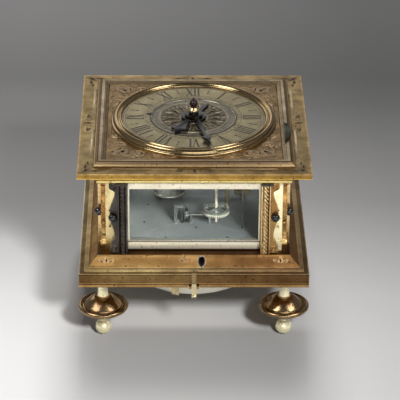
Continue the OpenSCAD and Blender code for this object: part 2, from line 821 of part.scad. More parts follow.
// Alarm hand: a wedge that ends in a small anchor, with a short tail
module alarm_hand() {
    l = alarm_l;
    side = [[0, 1.4], [l * 0.33, 1.5], [l * 0.66, 3.2], [l * 0.7, 5.3], [l * 0.8, 4.6], [l * 0.82, 2],
        [l * 0.92, 1.1], [l, 0]];
    color(steel) translate([0, 0, alarm_z]) difference() {
        union() {
            cylinder(h = hub_t, d = hub_d);
            rotate(90 - alarm_turn) linear_extrude(hand_t) {
                polygon(concat(side, [for (p = back(side)) [p.x, -p.y]]));
                polygon([[0, 1.6], [-l * 0.7, 0.9], [-l * 0.79, 0], [-l * 0.7, -0.9], [0, -1.6]]);
            }
        }
        translate([0, 0, -eps]) cylinder(h = hub_t + 2 * eps, r = pipe_d / 2 + fit);
    }
}

// Hour hand: a slender blade with a barbed point, and a boss on its hub
module hour_hand() {
    l = hour_l;
    side = [[0, 1.5], [l * 0.5, 1.1], [l * 0.77, 0.8], [l * 0.8, 2.7],
        [l * 0.85, 1.9], [l * 0.88, 1.2], [l, 0]];
    color(steel) translate([0, 0, hand_z]) difference() {
        union() {
            cylinder(h = hub_t, d = hub_d * 0.72);
            cylinder(h = boss_h, r = boss_r);
            rotate(90 - hour_turn) linear_extrude(hand_t) {
                polygon(concat(side, [for (p = back(side)) [p.x, -p.y]]));
                polygon([[0, 1.5], [-l * 0.27, 0.8], [-l * 0.3, 0], [-l * 0.27, -0.8], [0, -1.5]]);
            }
        }
        translate([0, 0, -eps]) cylinder(h = boss_h + 2 * eps, r = post_d / 2 + fit);
    }
}

// Finial screwed on the post above the hands
module hand_finial() {
    color(steel) difference() {
        translate([0, 0, finial_z]) rotate_extrude() polygon(concat(
            [[0, 0], [2.6, 0], [2.9, 0.6], [2.6, 1.4], [1.5, 1.9], [1.5, 2.6]],
            arc([0, 4.6], 2.3, -50, 62, 8), [[0.5, 7.6], [0, 8.4]]));
        translate([0, 0, finial_z - 1]) cylinder(h = post_up + 1.1, r = post_d / 2 + seat);
    }
}

// Square movement plate with the tenon holes of the pillars and the bores of the arbors
module movement_plate(z) {
    difference() {
        translate([-plate_r, -plate_r, z]) cube([2 * plate_r, 2 * plate_r, mplate_t]);
        for (x = [-1, 1], y = [-1, 1]) plate_bore([x * pillar_at, y * pillar_at], tenon_r + seat, z);
        for (p = [barrel_xy, second_xy]) plate_bore(p, arbor_d / 4 + fit, z);
        plate_bore(contrate_xy, verge_r / 2 + fit, z);
        plate_bore(fusee_xy, arbor_d * 0.4 + fit, z);
    }
}

// Upright on the lower plate from x, in line with the escape wheel's arbor
module potence(x, t, top) {
    translate([x, escape_y - potence_w / 2, z_floor - bite]) cube([t, potence_w, top - z_floor + bite]);
}

// Lower plate with the bearings of the escape wheel and of the balance's staff
module lower_plate() {
    arm_z = verge_top - near;
    arm_x = verge_x - 4.4;
    color(silvered) difference() {
        union() {
            movement_plate(z_lower);
            potence(escape_x + 1.2, 1, escape_z + 1.6);
            potence(contrate_xy.x - 4.4, 1, escape_z + 1);
            potence(arm_x, 1.6, arm_z + 1.5);
            translate([arm_x, escape_y - potence_w / 2, arm_z]) cube([5.6, potence_w, 1.5]);
        }
        translate([escape_x, escape_y, escape_z]) rotate([0, 90, 0])
            cylinder(h = contrate_xy.x - escape_x - 3, r = thin_r + fit);
        plate_bore([verge_x, escape_y], verge_r + 0.4, z_lower);
        plate_bore([verge_x, escape_y], verge_r / 2 + fit, arm_z);
        plate_bore(pivot_xy, arbor_d / 4 + fit, z_lower);
    }
}

// Upper plate, with the bearing of the hour wheel in its middle
module upper_plate() {
    color(silvered) difference() {
        movement_plate(z_upper);
        plate_bore([0, 0], post_d / 2 + fit, z_upper);
    }
}

// Pillars with their tenons, and the thin rod near the front right
module plate_pillars() {
    color(pale_gold) {
        for (x = [-1, 1], y = [-1, 1]) translate([x * pillar_at, y * pillar_at, 0]) {
            translate([0, 0, z_floor]) cylinder(h = plates_gap, d = pillar_d);
            translate([0, 0, z_lower]) cylinder(h = plates_gap + 2 * mplate_t, r = tenon_r);
        }
        translate([rod_xy.x, rod_xy.y, z_floor]) cylinder(h = plates_gap, d = rod_d);
    }
}

// Mainspring barrel, with a raised band at each end, and its arbor
module barrel() {
    r = barrel_d / 2;
    waist = r - 0.4;
    band = 1;
    color(pale_gold) translate([barrel_xy.x, barrel_xy.y, 0]) {
        translate([0, 0, barrel_z]) rotate_extrude() polygon([[0, 0], [r, 0], [r, band], [waist, band_h],
            [waist, barrel_h - band_h], [r, barrel_h - band], [r, barrel_h], [0, barrel_h]]);
        arbor(z_floor, plates_gap, arbor_d / 2);
    }
}

// Radius of the fusee's cone at a height
function fusee_r(z) = fusee_small_d / 2 + (fusee_d - fusee_small_d) / 2 * pow((z - fusee_z) / fusee_h, 1.5);

// Fusee: the cone on its arbor, the pinion that drives the hour wheel and the winding square
module fusee() {
    cone = [for (i = [0:10]) fusee_z + fusee_h * i / 10];
    color(pale_gold) translate([fusee_xy.x, fusee_xy.y, 0]) {
        rotate_extrude() polygon(concat(
            [[0, fusee_z]], [for (z = cone) [fusee_r(z), z]], [[0, fusee_z + fusee_h]]));
        translate([0, 0, z_floor + near]) cylinder(h = plates_gap - 2 * near, d = arbor_d);
        translate([0, 0, z_lower - eps]) cylinder(h = hour_z + wheel_t + 1.5 - z_lower, r = arbor_d * 0.4);
        translate([0, 0, hour_z - pinion_up]) linear_extrude(wheel_t + 2 * pinion_up)
            teeth(motion_n, motion_m);
        translate([-key_w / 2, -key_w / 2, z_lower - bite - key_l]) cube([key_w, key_w, key_l]);
    }
}

// Great wheel on the fusee's arbor
module great_wheel() {
    color(pale_gold) translate([fusee_xy.x, fusee_xy.y, great_z]) difference() {
        crossed_wheel(great_n, great_m, wheel_t, arbor_d + 1);
        translate([0, 0, -eps]) cylinder(h = wheel_t + 2 * eps, d = arbor_d + 2 * seat);
    }
}

// Second wheel with its pinion and arbor
module second_wheel() {
    color(pale_gold) translate([second_xy.x, second_xy.y, 0]) {
        translate([0, 0, second_z]) crossed_wheel(second_n, second_m, wheel_t, arbor_d);
        translate([0, 0, great_z - pinion_up]) linear_extrude(wheel_t + 2 * pinion_up)
            rotate(mesh_turn(way(fusee_xy, second_xy), great_n, 0, pinion_n)) teeth(pinion_n, great_m);
        arbor(z_floor, plates_gap, arbor_d / 2);
    }
}

// Contrate wheel, whose teeth point down, with its pinion and arbor
module contrate_wheel() {
    r = contrate_d / 2;
    tip_z = contrate_z + wheel_t - contrate_rim;
    tooth_gap = [3 * rim_w, 2 * PI * r / contrate_n * 0.62, 2 * contrate_tooth];
    color(pale_gold) translate([contrate_xy.x, contrate_xy.y, 0]) {
        difference() {
            union() {
                translate([0, 0, contrate_z]) linear_extrude(wheel_t) difference() {
                    circle(r);
                    difference() {
                        circle(r - 1.4);
                        circle(1.8);
                        for (a = [45, 135]) rotate(a) square([2 * r, 1], center = true);
                    }
                }
                translate([0, 0, tip_z]) linear_extrude(contrate_rim) difference() {
                    circle(r);
                    circle(r - rim_w);
                }
            }
            for (i = [0:contrate_n - 1]) rotate((i + 0.5) * 360 / contrate_n)
                translate([r - rim_w / 2, 0, tip_z]) cube(tooth_gap, center = true);
        }
        translate([0, 0, second_z - pinion_up]) linear_extrude(wheel_t + 2 * pinion_up)
            rotate(mesh_turn(way(second_xy, contrate_xy), second_n, 0, pinion_n)) teeth(pinion_n, second_m);
        arbor(z_floor, plates_gap, verge_r);
    }
}

// Escape wheel: a crown wheel on a level arbor, with the pinion that the contrate wheel drives
module escape_wheel() {
    r = escape_d / 2;
    start = escape_x - rim_w;
    stop = contrate_xy.x - 3.6;
    tooth_gap = [4 * rim_w, 2 * PI * r / escape_n * 0.6, 2 * contrate_tooth];
    color(pale_gold) translate([0, escape_y, escape_z]) rotate([0, 90, 0]) {
        difference() {
            translate([0, 0, escape_x - crown_l]) cylinder(h = crown_l, r = r);
            translate([0, 0, escape_x - crown_l - eps]) cylinder(h = crown_l - rim_w + eps, r = r - rim_w);
            for (i = [0:escape_n - 1]) rotate(i * 360 / escape_n)
                translate([r, 0, escape_x - crown_l]) cube(tooth_gap, center = true);
        }
        translate([0, 0, start]) cylinder(h = stop - start, r = thin_r);
        translate([0, 0, pinion_x - 1]) linear_extrude(2)
            rotate(180 / pinion_n) leaves(pinion_n, pinion_r - 0.8, pinion_r);
    }
}

// Outline of a small pinion with thin leaves
module leaves(n, root, tip) {
    pitch = 360 / n;
    tooth = [[root, -0.34], [root, -0.16], [tip, -0.1], [tip, 0.1], [root, 0.16], [root, 0.34]];
    polygon([for (i = [0:n - 1], c = tooth) c[0] * [cos((i + c[1]) * pitch), sin((i + c[1]) * pitch)]]);
}

// Balance wheel on the verge staff with its two pallets
module balance() {
    r = balance_d / 2;
    pallet = [1.1, 0.6, 1.4];
    foot = cock_z + cock_t + near;
    color(steel) translate([verge_x, escape_y, 0]) {
        translate([0, 0, balance_z]) linear_extrude(wheel_t) {
            difference() {
                circle(r);
                circle(r - 1.6);
            }
            circle(3 * verge_r);
            square([2 * r - 1, 1.8], center = true);
        }
        translate([0, 0, foot]) cylinder(h = verge_top - 2 * near - foot, r = verge_r);
        translate([0, 0, cock_z + near]) cylinder(h = verge_top + 0.8 - cock_z, r = verge_r / 2);
        for (s = [-1, 1]) translate([0, 0, escape_z + s * (escape_d / 2 - rim_w)]) rotate(s * 50)
            translate([0, -pallet.y / 2, -pallet.z / 2]) cube(pallet);
    }
}

// Balance cock: a foot under the lower plate and an arm under the balance
module balance_cock() {
    foot_x = verge_x - balance_d / 2 - 6;
    foot_w = 6;
    color(pale_gold) difference() {
        union() {
            translate([foot_x, escape_y - foot_w / 2, cock_z]) cube([potence_w, foot_w, z_lower - cock_z]);
            translate([foot_x, escape_y - potence_w / 2, cock_z])
                cube([verge_x - foot_x + 2, potence_w, cock_t]);
        }
        translate([verge_x, escape_y, cock_z - eps]) cylinder(h = cock_t + 2 * eps, r = verge_r / 2 + fit);
    }
}

// Hour wheel with the pipe that comes up through the dial, and the post that carries the hour hand
module hour_wheel() {
    mesh = mesh_turn(way(fusee_xy, [0, 0]), motion_n, 0, hour_n);
    color(pale_gold) {
        translate([0, 0, hour_z]) rotate(mesh) crossed_wheel(hour_n, motion_m, wheel_t, pipe_d + 2);
        translate([0, 0, hour_z]) cylinder(h = hand_z - seat - hour_z, d = pipe_d);
        translate([0, 0, z_upper + near]) cylinder(h = finial_z + post_up - z_upper - near, d = post_d);
        translate([0, 0, z_motion + near]) cylinder(h = hour_z - z_motion, d = pipe_d + 2);
    }
}

// Hammer: an upright pivot, a level arm and the head that hangs inside the bell
module hammer() {
    arm_over = 1.4;
    color(steel) {
        translate([pivot_xy.x, pivot_xy.y, hammer_arm_z]) {
            cylinder(h = z_lower - near - hammer_arm_z, d = arbor_d);
            cylinder(h = z_floor - near - hammer_arm_z, r = arbor_d / 4);
        }
        translate([hammer_xy.x, hammer_xy.y, hammer_arm_z]) rotate(hammer_way - 90)
            translate([-arm_over, -arm_w / 2, 0]) cube([hammer_arm + arm_over, arm_w, arm_t]);
        translate([hammer_xy.x, hammer_xy.y, head_z])
            cylinder(h = hammer_arm_z - head_z + eps, d = hammer_stem_d);
        translate([hammer_xy.x, hammer_xy.y, head_z - head_h / 2]) cylinder(h = head_h, d = hammer_d);
    }
}

// The line touches the fusee and the barrel with a small clearance
line_fusee_r = fusee_r(line_top) + line_r + near;
line_barrel_r = barrel_d / 2 + line_r + near;
line_way = way(fusee_xy, barrel_xy) - acos((line_fusee_r - line_barrel_r) / norm(barrel_xy - fusee_xy));

// Station of the line: a place, and the way its side faces, seen from above
function station(xy, r, a, z) = [xy.x + r * cos(a), xy.y + r * sin(a), z, a];

// A station moved along the line by a length
function moved(p, l) = [p[0] - l * sin(p[3]), p[1] + l * cos(p[3]), p[2], p[3]];

// Stations on the fusee, from its small end up
function line_on_fusee() = [for (i = [0:line_turns * ring_count])
    let (t = i / (line_turns * ring_count), z = line_low + (line_top - line_low) * t)
    station(fusee_xy, fusee_r(z) + line_r + near, line_way - 360 * line_turns * (1 - t), z)];

// Stations on the barrel, from the straight run down
function line_on_barrel() = [for (i = [0:barrel_turns * ring_count]) let (t = i / ring_count)
    station(barrel_xy, line_barrel_r, line_way + 360 * t, line_top - barrel_pitch * t)];

// The whole line, with a straight end of one diameter at both ends
function line_path() = let (a = line_on_fusee(), b = line_on_barrel())
    concat([moved(a[0], -line_d)], a, b, [moved(b[len(b) - 1], line_d)]);

// Least clear distance between two loops, measured between all stations half a loop or more apart
function least_gap(p) = min([for (i = [0:len(p) - 1], j = [i + ring_count / 2:1:len(p) - 1])
    norm([p[i].x - p[j].x, p[i].y - p[j].y, p[i].z - p[j].z])]) - line_d;

// Gut line, as one tube of six sides
module gut_line() {
    path = line_path();
    n = line_sides;
    last = len(path) - 1;
    points = [for (p = path, k = [0:n - 1]) let (a = 360 * k / n, r = line_r * cos(a))
        [p.x + r * cos(p[3]), p.y + r * sin(p[3]), p.z + line_r * sin(a)]];
    walls = [for (i = [0:last - 1], k = [0:n - 1]) let (a = i * n + k, b = i * n + (k + 1) % n)
        each [[a, b, b + n], [a, b + n, a + n]]];
    caps = [for (k = [1:n - 2]) each [[0, k + 1, k], [last * n, last * n + k, last * n + k + 1]]];
    color(gut) polyhedron(points, concat(walls, caps));
    echo(least_gap = least_gap(path));
}

bottom_plate();
foot_spindle(-foot_at, -foot_at);  // foot_spindle_fl
foot_spindle(foot_at, -foot_at);  // foot_spindle_fr
foot_spindle(-foot_at, foot_at);  // foot_spindle_bl
foot_spindle(foot_at, foot_at);  // foot_spindle_br
foot_saucer(-foot_at, -foot_at);  // foot_saucer_fl
foot_saucer(foot_at, -foot_at);  // foot_saucer_fr
foot_saucer(-foot_at, foot_at);  // foot_saucer_bl
foot_saucer(foot_at, foot_at);  // foot_saucer_br
bell();
bell_stud();
bell_nut();
bell_strap();
base_hinge_leaf();
hinge_pin();
latch();
case_hinge_leaf();
base_moulding();
keyhole_bush();
corner_post(-1, -1);  // corner_post_fl
corner_post(1, -1);  // corner_post_fr
corner_post(-1, 1);  // corner_post_bl
corner_post(1, 1);  // corner_post_br
pilasters(-1, -1);  // pilasters_fl
pilasters(1, -1);  // pilasters_fr
pilasters(-1, 1);  // pilasters_bl
pilasters(1, 1);  // pilasters_br
window_frame(0);  // window_frame_front
window_frame(90);  // window_frame_right
window_frame(180);  // window_frame_back
window_frame(270);  // window_frame_left
glass(0);  // glass_front
glass(90);  // glass_right
glass(180);  // glass_back
glass(270);  // glass_left
ball_studs();
upper_frame();
top_plate();
top_moulding();
top_catch();
bezel();
chapter_ring();
alarm_disc();
alarm_hand();
hour_hand();
hand_finial();
lower_plate();
upper_plate();
plate_pillars();
barrel();
fusee();
great_wheel();
gut_line();
second_wheel();
contrate_wheel();
escape_wheel();
balance();
balance_cock();
hour_wheel();
hammer();
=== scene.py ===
# %% [markdown]
# # A horizontal table clock in gilt brass
# The clock lies flat: the dial is its top, glass closes its four sides, and it stands on four
# turned feet with the bell hung under its base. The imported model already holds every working
# piece at its real size, so this lesson gives each piece its surface, and rebuilds by hand
# the pieces whose beauty is in turning, carving and engraving.

# %% Load the clock's frame
import math

import bpy
from mathutils import Matrix, Vector


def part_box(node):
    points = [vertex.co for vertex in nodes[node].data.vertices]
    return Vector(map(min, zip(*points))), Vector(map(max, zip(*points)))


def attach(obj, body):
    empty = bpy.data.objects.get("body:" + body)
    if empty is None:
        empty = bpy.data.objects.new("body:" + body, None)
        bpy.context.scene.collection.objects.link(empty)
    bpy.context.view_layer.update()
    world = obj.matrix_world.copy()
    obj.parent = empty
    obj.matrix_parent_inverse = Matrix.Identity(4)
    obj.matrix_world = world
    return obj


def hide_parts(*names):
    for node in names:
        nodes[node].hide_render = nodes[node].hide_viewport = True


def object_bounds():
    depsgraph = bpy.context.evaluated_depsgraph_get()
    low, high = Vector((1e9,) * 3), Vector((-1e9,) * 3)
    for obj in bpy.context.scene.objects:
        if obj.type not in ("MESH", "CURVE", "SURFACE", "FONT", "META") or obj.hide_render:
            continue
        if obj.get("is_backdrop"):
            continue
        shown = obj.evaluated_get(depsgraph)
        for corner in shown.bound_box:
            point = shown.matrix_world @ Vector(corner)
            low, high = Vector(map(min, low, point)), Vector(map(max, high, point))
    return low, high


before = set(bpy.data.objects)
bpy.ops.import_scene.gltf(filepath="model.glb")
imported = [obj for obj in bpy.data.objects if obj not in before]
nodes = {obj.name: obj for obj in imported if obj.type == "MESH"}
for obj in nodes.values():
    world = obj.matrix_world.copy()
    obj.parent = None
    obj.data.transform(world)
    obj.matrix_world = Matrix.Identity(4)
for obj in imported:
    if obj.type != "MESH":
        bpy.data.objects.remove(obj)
cad_low, cad_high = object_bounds()
MM = 0.001
scene = bpy.context.scene
scene.view_settings.view_transform = "Standard"

# %% [markdown]
# The camera comes first, so that every later look is through the same eye. A long lens stands
# more than a metre away and looks down on the clock by a little under 28 degrees, as a
# photographer does to show a dial that lies flat. The aim is a point on the clock's middle
# plane, and the camera is placed by its distance and two angles, then rolled by half a degree.

# %% Camera
AIM = Vector((4.02, 0.0, 58.9)) * MM
DISTANCE = 1348.3 * MM
ELEVATION = math.radians(27.88)
YAW = math.radians(-0.87)
ROLL = math.radians(0.44)
LENS, SENSOR = 207.3, 36.0

level = math.cos(ELEVATION)
back = Vector((math.sin(YAW) * level, -math.cos(YAW) * level, math.sin(ELEVATION)))
camera_data = bpy.data.cameras.new("camera")
camera_data.lens = LENS
camera_data.sensor_width = SENSOR
camera = bpy.data.objects.new("camera", camera_data)
scene.collection.objects.link(camera)
turn = back.to_track_quat("Z", "Y") @ Matrix.Rotation(ROLL, 3, "Z").to_quaternion()
camera.location = AIM + back * DISTANCE
camera.rotation_euler = turn.to_euler()
scene.camera = camera
print("camera at", [round(v, 3) for v in camera.location])

# %% [markdown]
# A studio table is only a pale sheet under the object. One large plane is enough, because the
# camera looks down and never sees the horizon. Its paint is a painted light falloff: it goes from a
# pale grey at the front, which the lamps light up to white, to a dark grey at the back, and it is
# darker on the right, as a lit sheet falls off. The clock's own shadow does the rest, and a dim
# patch just in front of the feet is a painted shadow. A few small helpers come first, because
# every later finish is made with them: they start a material, find its shader, add a node, carry
# a value from one range to another, and calculate with values.

# %% Helpers for painted surfaces


def new_material(name, looks=None):
    """A material with only a Principled shader, some of whose sockets get a plain value."""
    material = bpy.data.materials.new(name)
    material.use_nodes = True
    for socket, value in (looks or {}).items():
        shader_of(material).inputs[socket].default_value = value
    return material


def shader_of(material):
    """The Principled shader of a material."""
    return material.node_tree.nodes["Principled BSDF"]


def add(tree, kind, inputs=None, **settings):
    """A shader node, with some of its settings and inputs given."""
    node = tree.nodes.new("ShaderNode" + kind)
    for name, value in settings.items():
        setattr(node, name, value)
    for name, value in (inputs or {}).items():
        node.inputs[name].default_value = value
    return node


def ranged(tree, source, start, end, low=0.0, high=1.0, kind="LINEAR"):
    """The value of a socket, carried from one range to another and held inside it."""
    limits = {"From Min": start, "From Max": end, "To Min": low, "To Max": high}
    node = add(tree, "MapRange", limits, interpolation_type=kind)
    tree.links.new(source, node.inputs["Value"])
    return node.outputs["Result"]


def computed(tree, operation, *sources):
    """A calculation with one or two sockets, such as a product."""
    node = add(tree, "Math", operation=operation)
    for index, source in enumerate(sources):
        tree.links.new(source, node.inputs[index])
    return node.outputs[0]


print("helpers ready")

# %% Floor
# A stop has its place from front to back in metres, and its grey, a painted light falloff.
FLOOR_STOPS = ((-0.116, 0.56), (-0.065, 0.55), (-0.010, 0.50), (0.047, 0.39), (0.111, 0.26),
               (0.254, 0.124), (0.300, 0.100), (0.423, 0.128))
FLOOR_LEFT, FLOOR_RIGHT, RIGHT_SHARE = -0.12, 0.13, 0.56


def deselect():
    """Nothing selected, and no object in edit mode."""
    if bpy.context.object and bpy.context.object.mode != "OBJECT":
        bpy.ops.object.mode_set(mode="OBJECT")
    bpy.ops.object.select_all(action="DESELECT")


deselect()
bpy.ops.mesh.primitive_plane_add(size=4.0, location=(0, 0, -0.0001))
floor = bpy.context.object
floor.name = "floor"
floor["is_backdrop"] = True
floor_paint = new_material("floor_sheet", {"Roughness": 0.75})
tree = floor_paint.node_tree
place = add(tree, "TexCoord")
split = add(tree, "SeparateXYZ")
tree.links.new(place.outputs["Object"], split.inputs[0])
across, along = split.outputs["X"], split.outputs["Y"]
front_end, back_end = FLOOR_STOPS[0][0], FLOOR_STOPS[-1][0]
ramp = add(tree, "ValToRGB")
stops = ramp.color_ramp.elements
for index, (depth, tone) in enumerate(FLOOR_STOPS):
    share = (depth - front_end) / (back_end - front_end)
    stop = stops[index] if index < 2 else stops.new(share)
    stop.position = share
    stop.color = (tone, tone * 0.985, tone * 0.975, 1.0)
tree.links.new(ranged(tree, along, front_end, back_end), ramp.inputs[0])
# Painted light falloff: the sheet gets darker towards the right.
fall_right = ranged(tree, across, FLOOR_LEFT, FLOOR_RIGHT, 1.0, RIGHT_SHARE)
floor.data.materials.append(floor_paint)
print("floor", floor.name)

# %% [markdown]
# The painted shadow in front of the feet is a product of three soft steps: one from the middle to
# both sides, one at its front and one at its back. A smooth step has no corner at its ends, so the painted
# shadow has no outline.

# %% The painted shadow in front
# Painted shadow in front of the feet: its sides, its front and back edges, and how much it darkens.
SHADOW_SIDE, SHADOW_FRONT, SHADOW_BACK = (0.085, 0.045), (-0.160, -0.075), (-0.038, -0.055)
PAINTED_SHADOW_DEPTH = 0.38
sideways = computed(tree, "ABSOLUTE", across)
sides = ranged(tree, sideways, *SHADOW_SIDE, kind="SMOOTHSTEP")
near = ranged(tree, along, *SHADOW_FRONT, kind="SMOOTHSTEP")
far = ranged(tree, along, *SHADOW_BACK, kind="SMOOTHSTEP")
painted_shadow = computed(tree, "MULTIPLY", computed(tree, "MULTIPLY", sides, far), near)
dim = ranged(tree, painted_shadow, 0.0, 1.0, 1.0, 1.0 - PAINTED_SHADOW_DEPTH, "SMOOTHSTEP")
fall = add(tree, "VectorMath", operation="SCALE")
tree.links.new(ramp.outputs["Color"], fall.inputs[0])
tree.links.new(computed(tree, "MULTIPLY", fall_right, dim), fall.inputs["Scale"])
tree.links.new(fall.outputs["Vector"], shader_of(floor_paint).inputs["Base Color"])
print("patch from", SHADOW_FRONT[0], "to", SHADOW_BACK[0])

# %% [markdown]
# Polished metal shows the room more than itself. The key is small and stands in front on the
# right, so the shadow falls to the left and to the back with an edge that can be seen. A second
# lamp behind the clock lays a softer shadow towards the front. Both are hidden from reflections,
# so nothing glares. Four large sheets are seen in reflections only: two hang high on both sides,
# and the bezel bends them into four bright arcs, one stands in front for the upright faces, and a
# dim one low at the back, where the flat top looks. A small spark, also for reflections only,
# stands where the key is and puts a point of light on each ball. The room is paler at the level
# of the table than overhead, so rounds that look up stay dark.

# %% Lamps


def area_lamp(name, place_mm, aim_mm, size_mm, power):
    """A soft rectangular lamp that faces a point of the clock."""
    data = bpy.data.lights.new(name, "AREA")
    data.energy = power
    data.shape = "RECTANGLE"
    data.size, data.size_y = size_mm[0] * MM, size_mm[1] * MM
    lamp = bpy.data.objects.new(name, data)
    lamp.location = Vector(place_mm) * MM
    lamp.rotation_euler = (lamp.location - Vector(aim_mm) * MM).to_track_quat("Z", "Y").to_euler()
    scene.collection.objects.link(lamp)
    return lamp


KEY_AT, CLOCK_MIDDLE = (349, -890, 719), (0, 0, 60)
key = area_lamp("key", KEY_AT, CLOCK_MIDDLE, (150, 150), 22.0)
key.visible_glossy = False
spark = area_lamp("spark", KEY_AT, CLOCK_MIDDLE, (80, 80), 1.3)
spark.visible_diffuse = False
back_lamp = area_lamp("back_lamp", (0, 600, 800), CLOCK_MIDDLE, (200, 420), 9.0)
back_lamp.visible_glossy = False
SHEETS = (("left_sheet", (-680, -350, 1050), (520, 520), 6.0),
          ("right_sheet", (680, -350, 1050), (520, 520), 4.8),
          ("front_sheet", (150, -1100, 420), (900, 420), 2.6),
          ("back_sheet", (-330, 1050, 600), (1300, 420), 1.7))
for name, place, size, power in SHEETS:
    sheet = area_lamp(name, place, CLOCK_MIDDLE, size, power)
    sheet.visible_diffuse = False

# %% The room
ROOM_LOW, ROOM_HIGH, OVERHEAD = 0.24, 0.08, 0.9
world = bpy.data.worlds.new("studio")
world.use_nodes = True
scene.world = world
tree = world.node_tree
sky = tree.nodes["Background"]
look = add(tree, "TexCoord")
part = add(tree, "SeparateXYZ")
tree.links.new(look.outputs["Object"], part.inputs[0])
strength = ranged(tree, part.outputs["Z"], 0.0, OVERHEAD, ROOM_LOW, ROOM_HIGH)
tree.links.new(strength, sky.inputs["Strength"])
sky.inputs["Color"].default_value = (1.0, 0.985, 0.97, 1.0)
print("room from", ROOM_LOW, "at the table to", ROOM_HIGH, "overhead")

# %% [markdown]
# ## Finishes
# Old gilding is never one colour. It is worn bright on its edges, brown in its hollows, and
# cloudy on its flats. A shared node group makes masks for the edges, the clouds and fine specks,
# and each metal mixes its own colours with them. The edge mask compares the true normal with a
# softly bevelled one: their dot product is one on a flat and falls at an edge, on any mesh. Where
# the metal is clouded with dirt, its edges keep only a third of their brightness.

# %% The wear group
EDGE_WIDTH, CLOUD_SCALE, SCRATCH_SCALE, SPECK_SCALE = 0.0005, 90.0, 900.0, 700.0
FLAT_DOT, EDGE_DOT = 0.995, 0.80
CLOUD_RANGE, SPECK_RANGE = (0.35, 0.68), (0.60, 0.74)
RUBBED_IN_DIRT = 0.3


def wear_group():
    """Masks for old metal: edges rubbed bright, dirt in patches, fine specks, and a height for bump."""
    group = bpy.data.node_groups.new("metal_wear", "ShaderNodeTree")
    face = group.interface
    for name, value in (("Cloud scale", CLOUD_SCALE), ("Edge width", EDGE_WIDTH),
                        ("Scratch scale", SCRATCH_SCALE)):
        socket = face.new_socket(name, in_out="INPUT", socket_type="NodeSocketFloat")
        socket.default_value = value
    for name in ("Edge", "Cloud", "Speck", "Height"):
        face.new_socket(name, in_out="OUTPUT", socket_type="NodeSocketFloat")
    start, end = group.nodes.new("NodeGroupInput"), group.nodes.new("NodeGroupOutput")
    coords = add(group, "TexCoord")

    def noise(detail, roughness=0.5):
        """Noise in the piece's own space."""
        node = add(group, "TexNoise", {"Detail": detail, "Roughness": roughness})
        group.links.new(coords.outputs["Object"], node.inputs["Vector"])
        return node

    bevel = add(group, "Bevel", samples=4)
    group.links.new(start.outputs["Edge width"], bevel.inputs["Radius"])
    geometry = add(group, "NewGeometry")
    dot = add(group, "VectorMath", operation="DOT_PRODUCT")
    group.links.new(bevel.outputs[0], dot.inputs[0])
    group.links.new(geometry.outputs["Normal"], dot.inputs[1])
    edge = ranged(group, dot.outputs["Value"], FLAT_DOT, EDGE_DOT)

    clouds = noise(6.0, 0.62)
    group.links.new(start.outputs["Cloud scale"], clouds.inputs["Scale"])
    cloud = ranged(group, clouds.outputs["Fac"], *CLOUD_RANGE)
    rubbed = computed(group, "MULTIPLY", edge, ranged(group, cloud, 0.0, 1.0, RUBBED_IN_DIRT, 1.0))
    dust = noise(3.0)
    dust.inputs["Scale"].default_value = SPECK_SCALE
    speck = ranged(group, dust.outputs["Fac"], *SPECK_RANGE)
    scratch = noise(4.0)
    group.links.new(start.outputs["Scratch scale"], scratch.inputs["Scale"])
    height = scratch.outputs["Fac"]
    for name, socket in (("Edge", rubbed), ("Cloud", cloud), ("Speck", speck), ("Height", height)):
        group.links.new(socket, end.inputs[name])
    return group


WEAR = wear_group()
print("wear group", [s.name for s in WEAR.interface.items_tree])

# %% [markdown]
# One function mixes a metal from four colours: the sound gilding, its darker clouds, the specks
# and the bright edge. Roughness follows the same clouds, since dirt is dull and rubbed metal is
# not, and a very low bump of fine noise breaks up the reflections.

# %% A function for old metals


def mix_colour(tree, factor, a, b, kind="MIX"):
    """A mix of two colours, each a colour or a socket, by a mask."""
    node = add(tree, "Mix", data_type="RGBA", blend_type=kind)
    tree.links.new(factor, node.inputs["Factor"])
    for key, value in (("A", a), ("B", b)):
        if isinstance(value, tuple):
            node.inputs[key].default_value = value + (1.0,)
        else:
            tree.links.new(value, node.inputs[key])
    return node.outputs["Result"]


GRAIN = 0.0002


def old_metal(name, sound, cloudy, dark, bright, rough, cloud_scale=CLOUD_SCALE, bump=0.08, metallic=1.0):
    """A worn metal of four colours; its roughness goes from sound metal to clouded metal."""
    material = new_material(name, {"Metallic": metallic})
    tree, shader = material.node_tree, shader_of(material)
    wear = add(tree, "Group", node_tree=WEAR)
    wear.inputs["Cloud scale"].default_value = cloud_scale
    colour = mix_colour(tree, wear.outputs["Cloud"], cloudy, sound)
    colour = mix_colour(tree, wear.outputs["Speck"], colour, dark)
    colour = mix_colour(tree, wear.outputs["Edge"], colour, bright)
    tree.links.new(colour, shader.inputs["Base Color"])
    roughness = ranged(tree, wear.outputs["Cloud"], 0.0, 1.0, rough[1], rough[0])
    tree.links.new(roughness, shader.inputs["Roughness"])
    grain = add(tree, "Bump", {"Strength": bump, "Distance": GRAIN})
    tree.links.new(wear.outputs["Height"], grain.inputs["Height"])
    tree.links.new(grain.outputs["Normal"], shader.inputs["Normal"])
    return material


print("metals can be mixed")
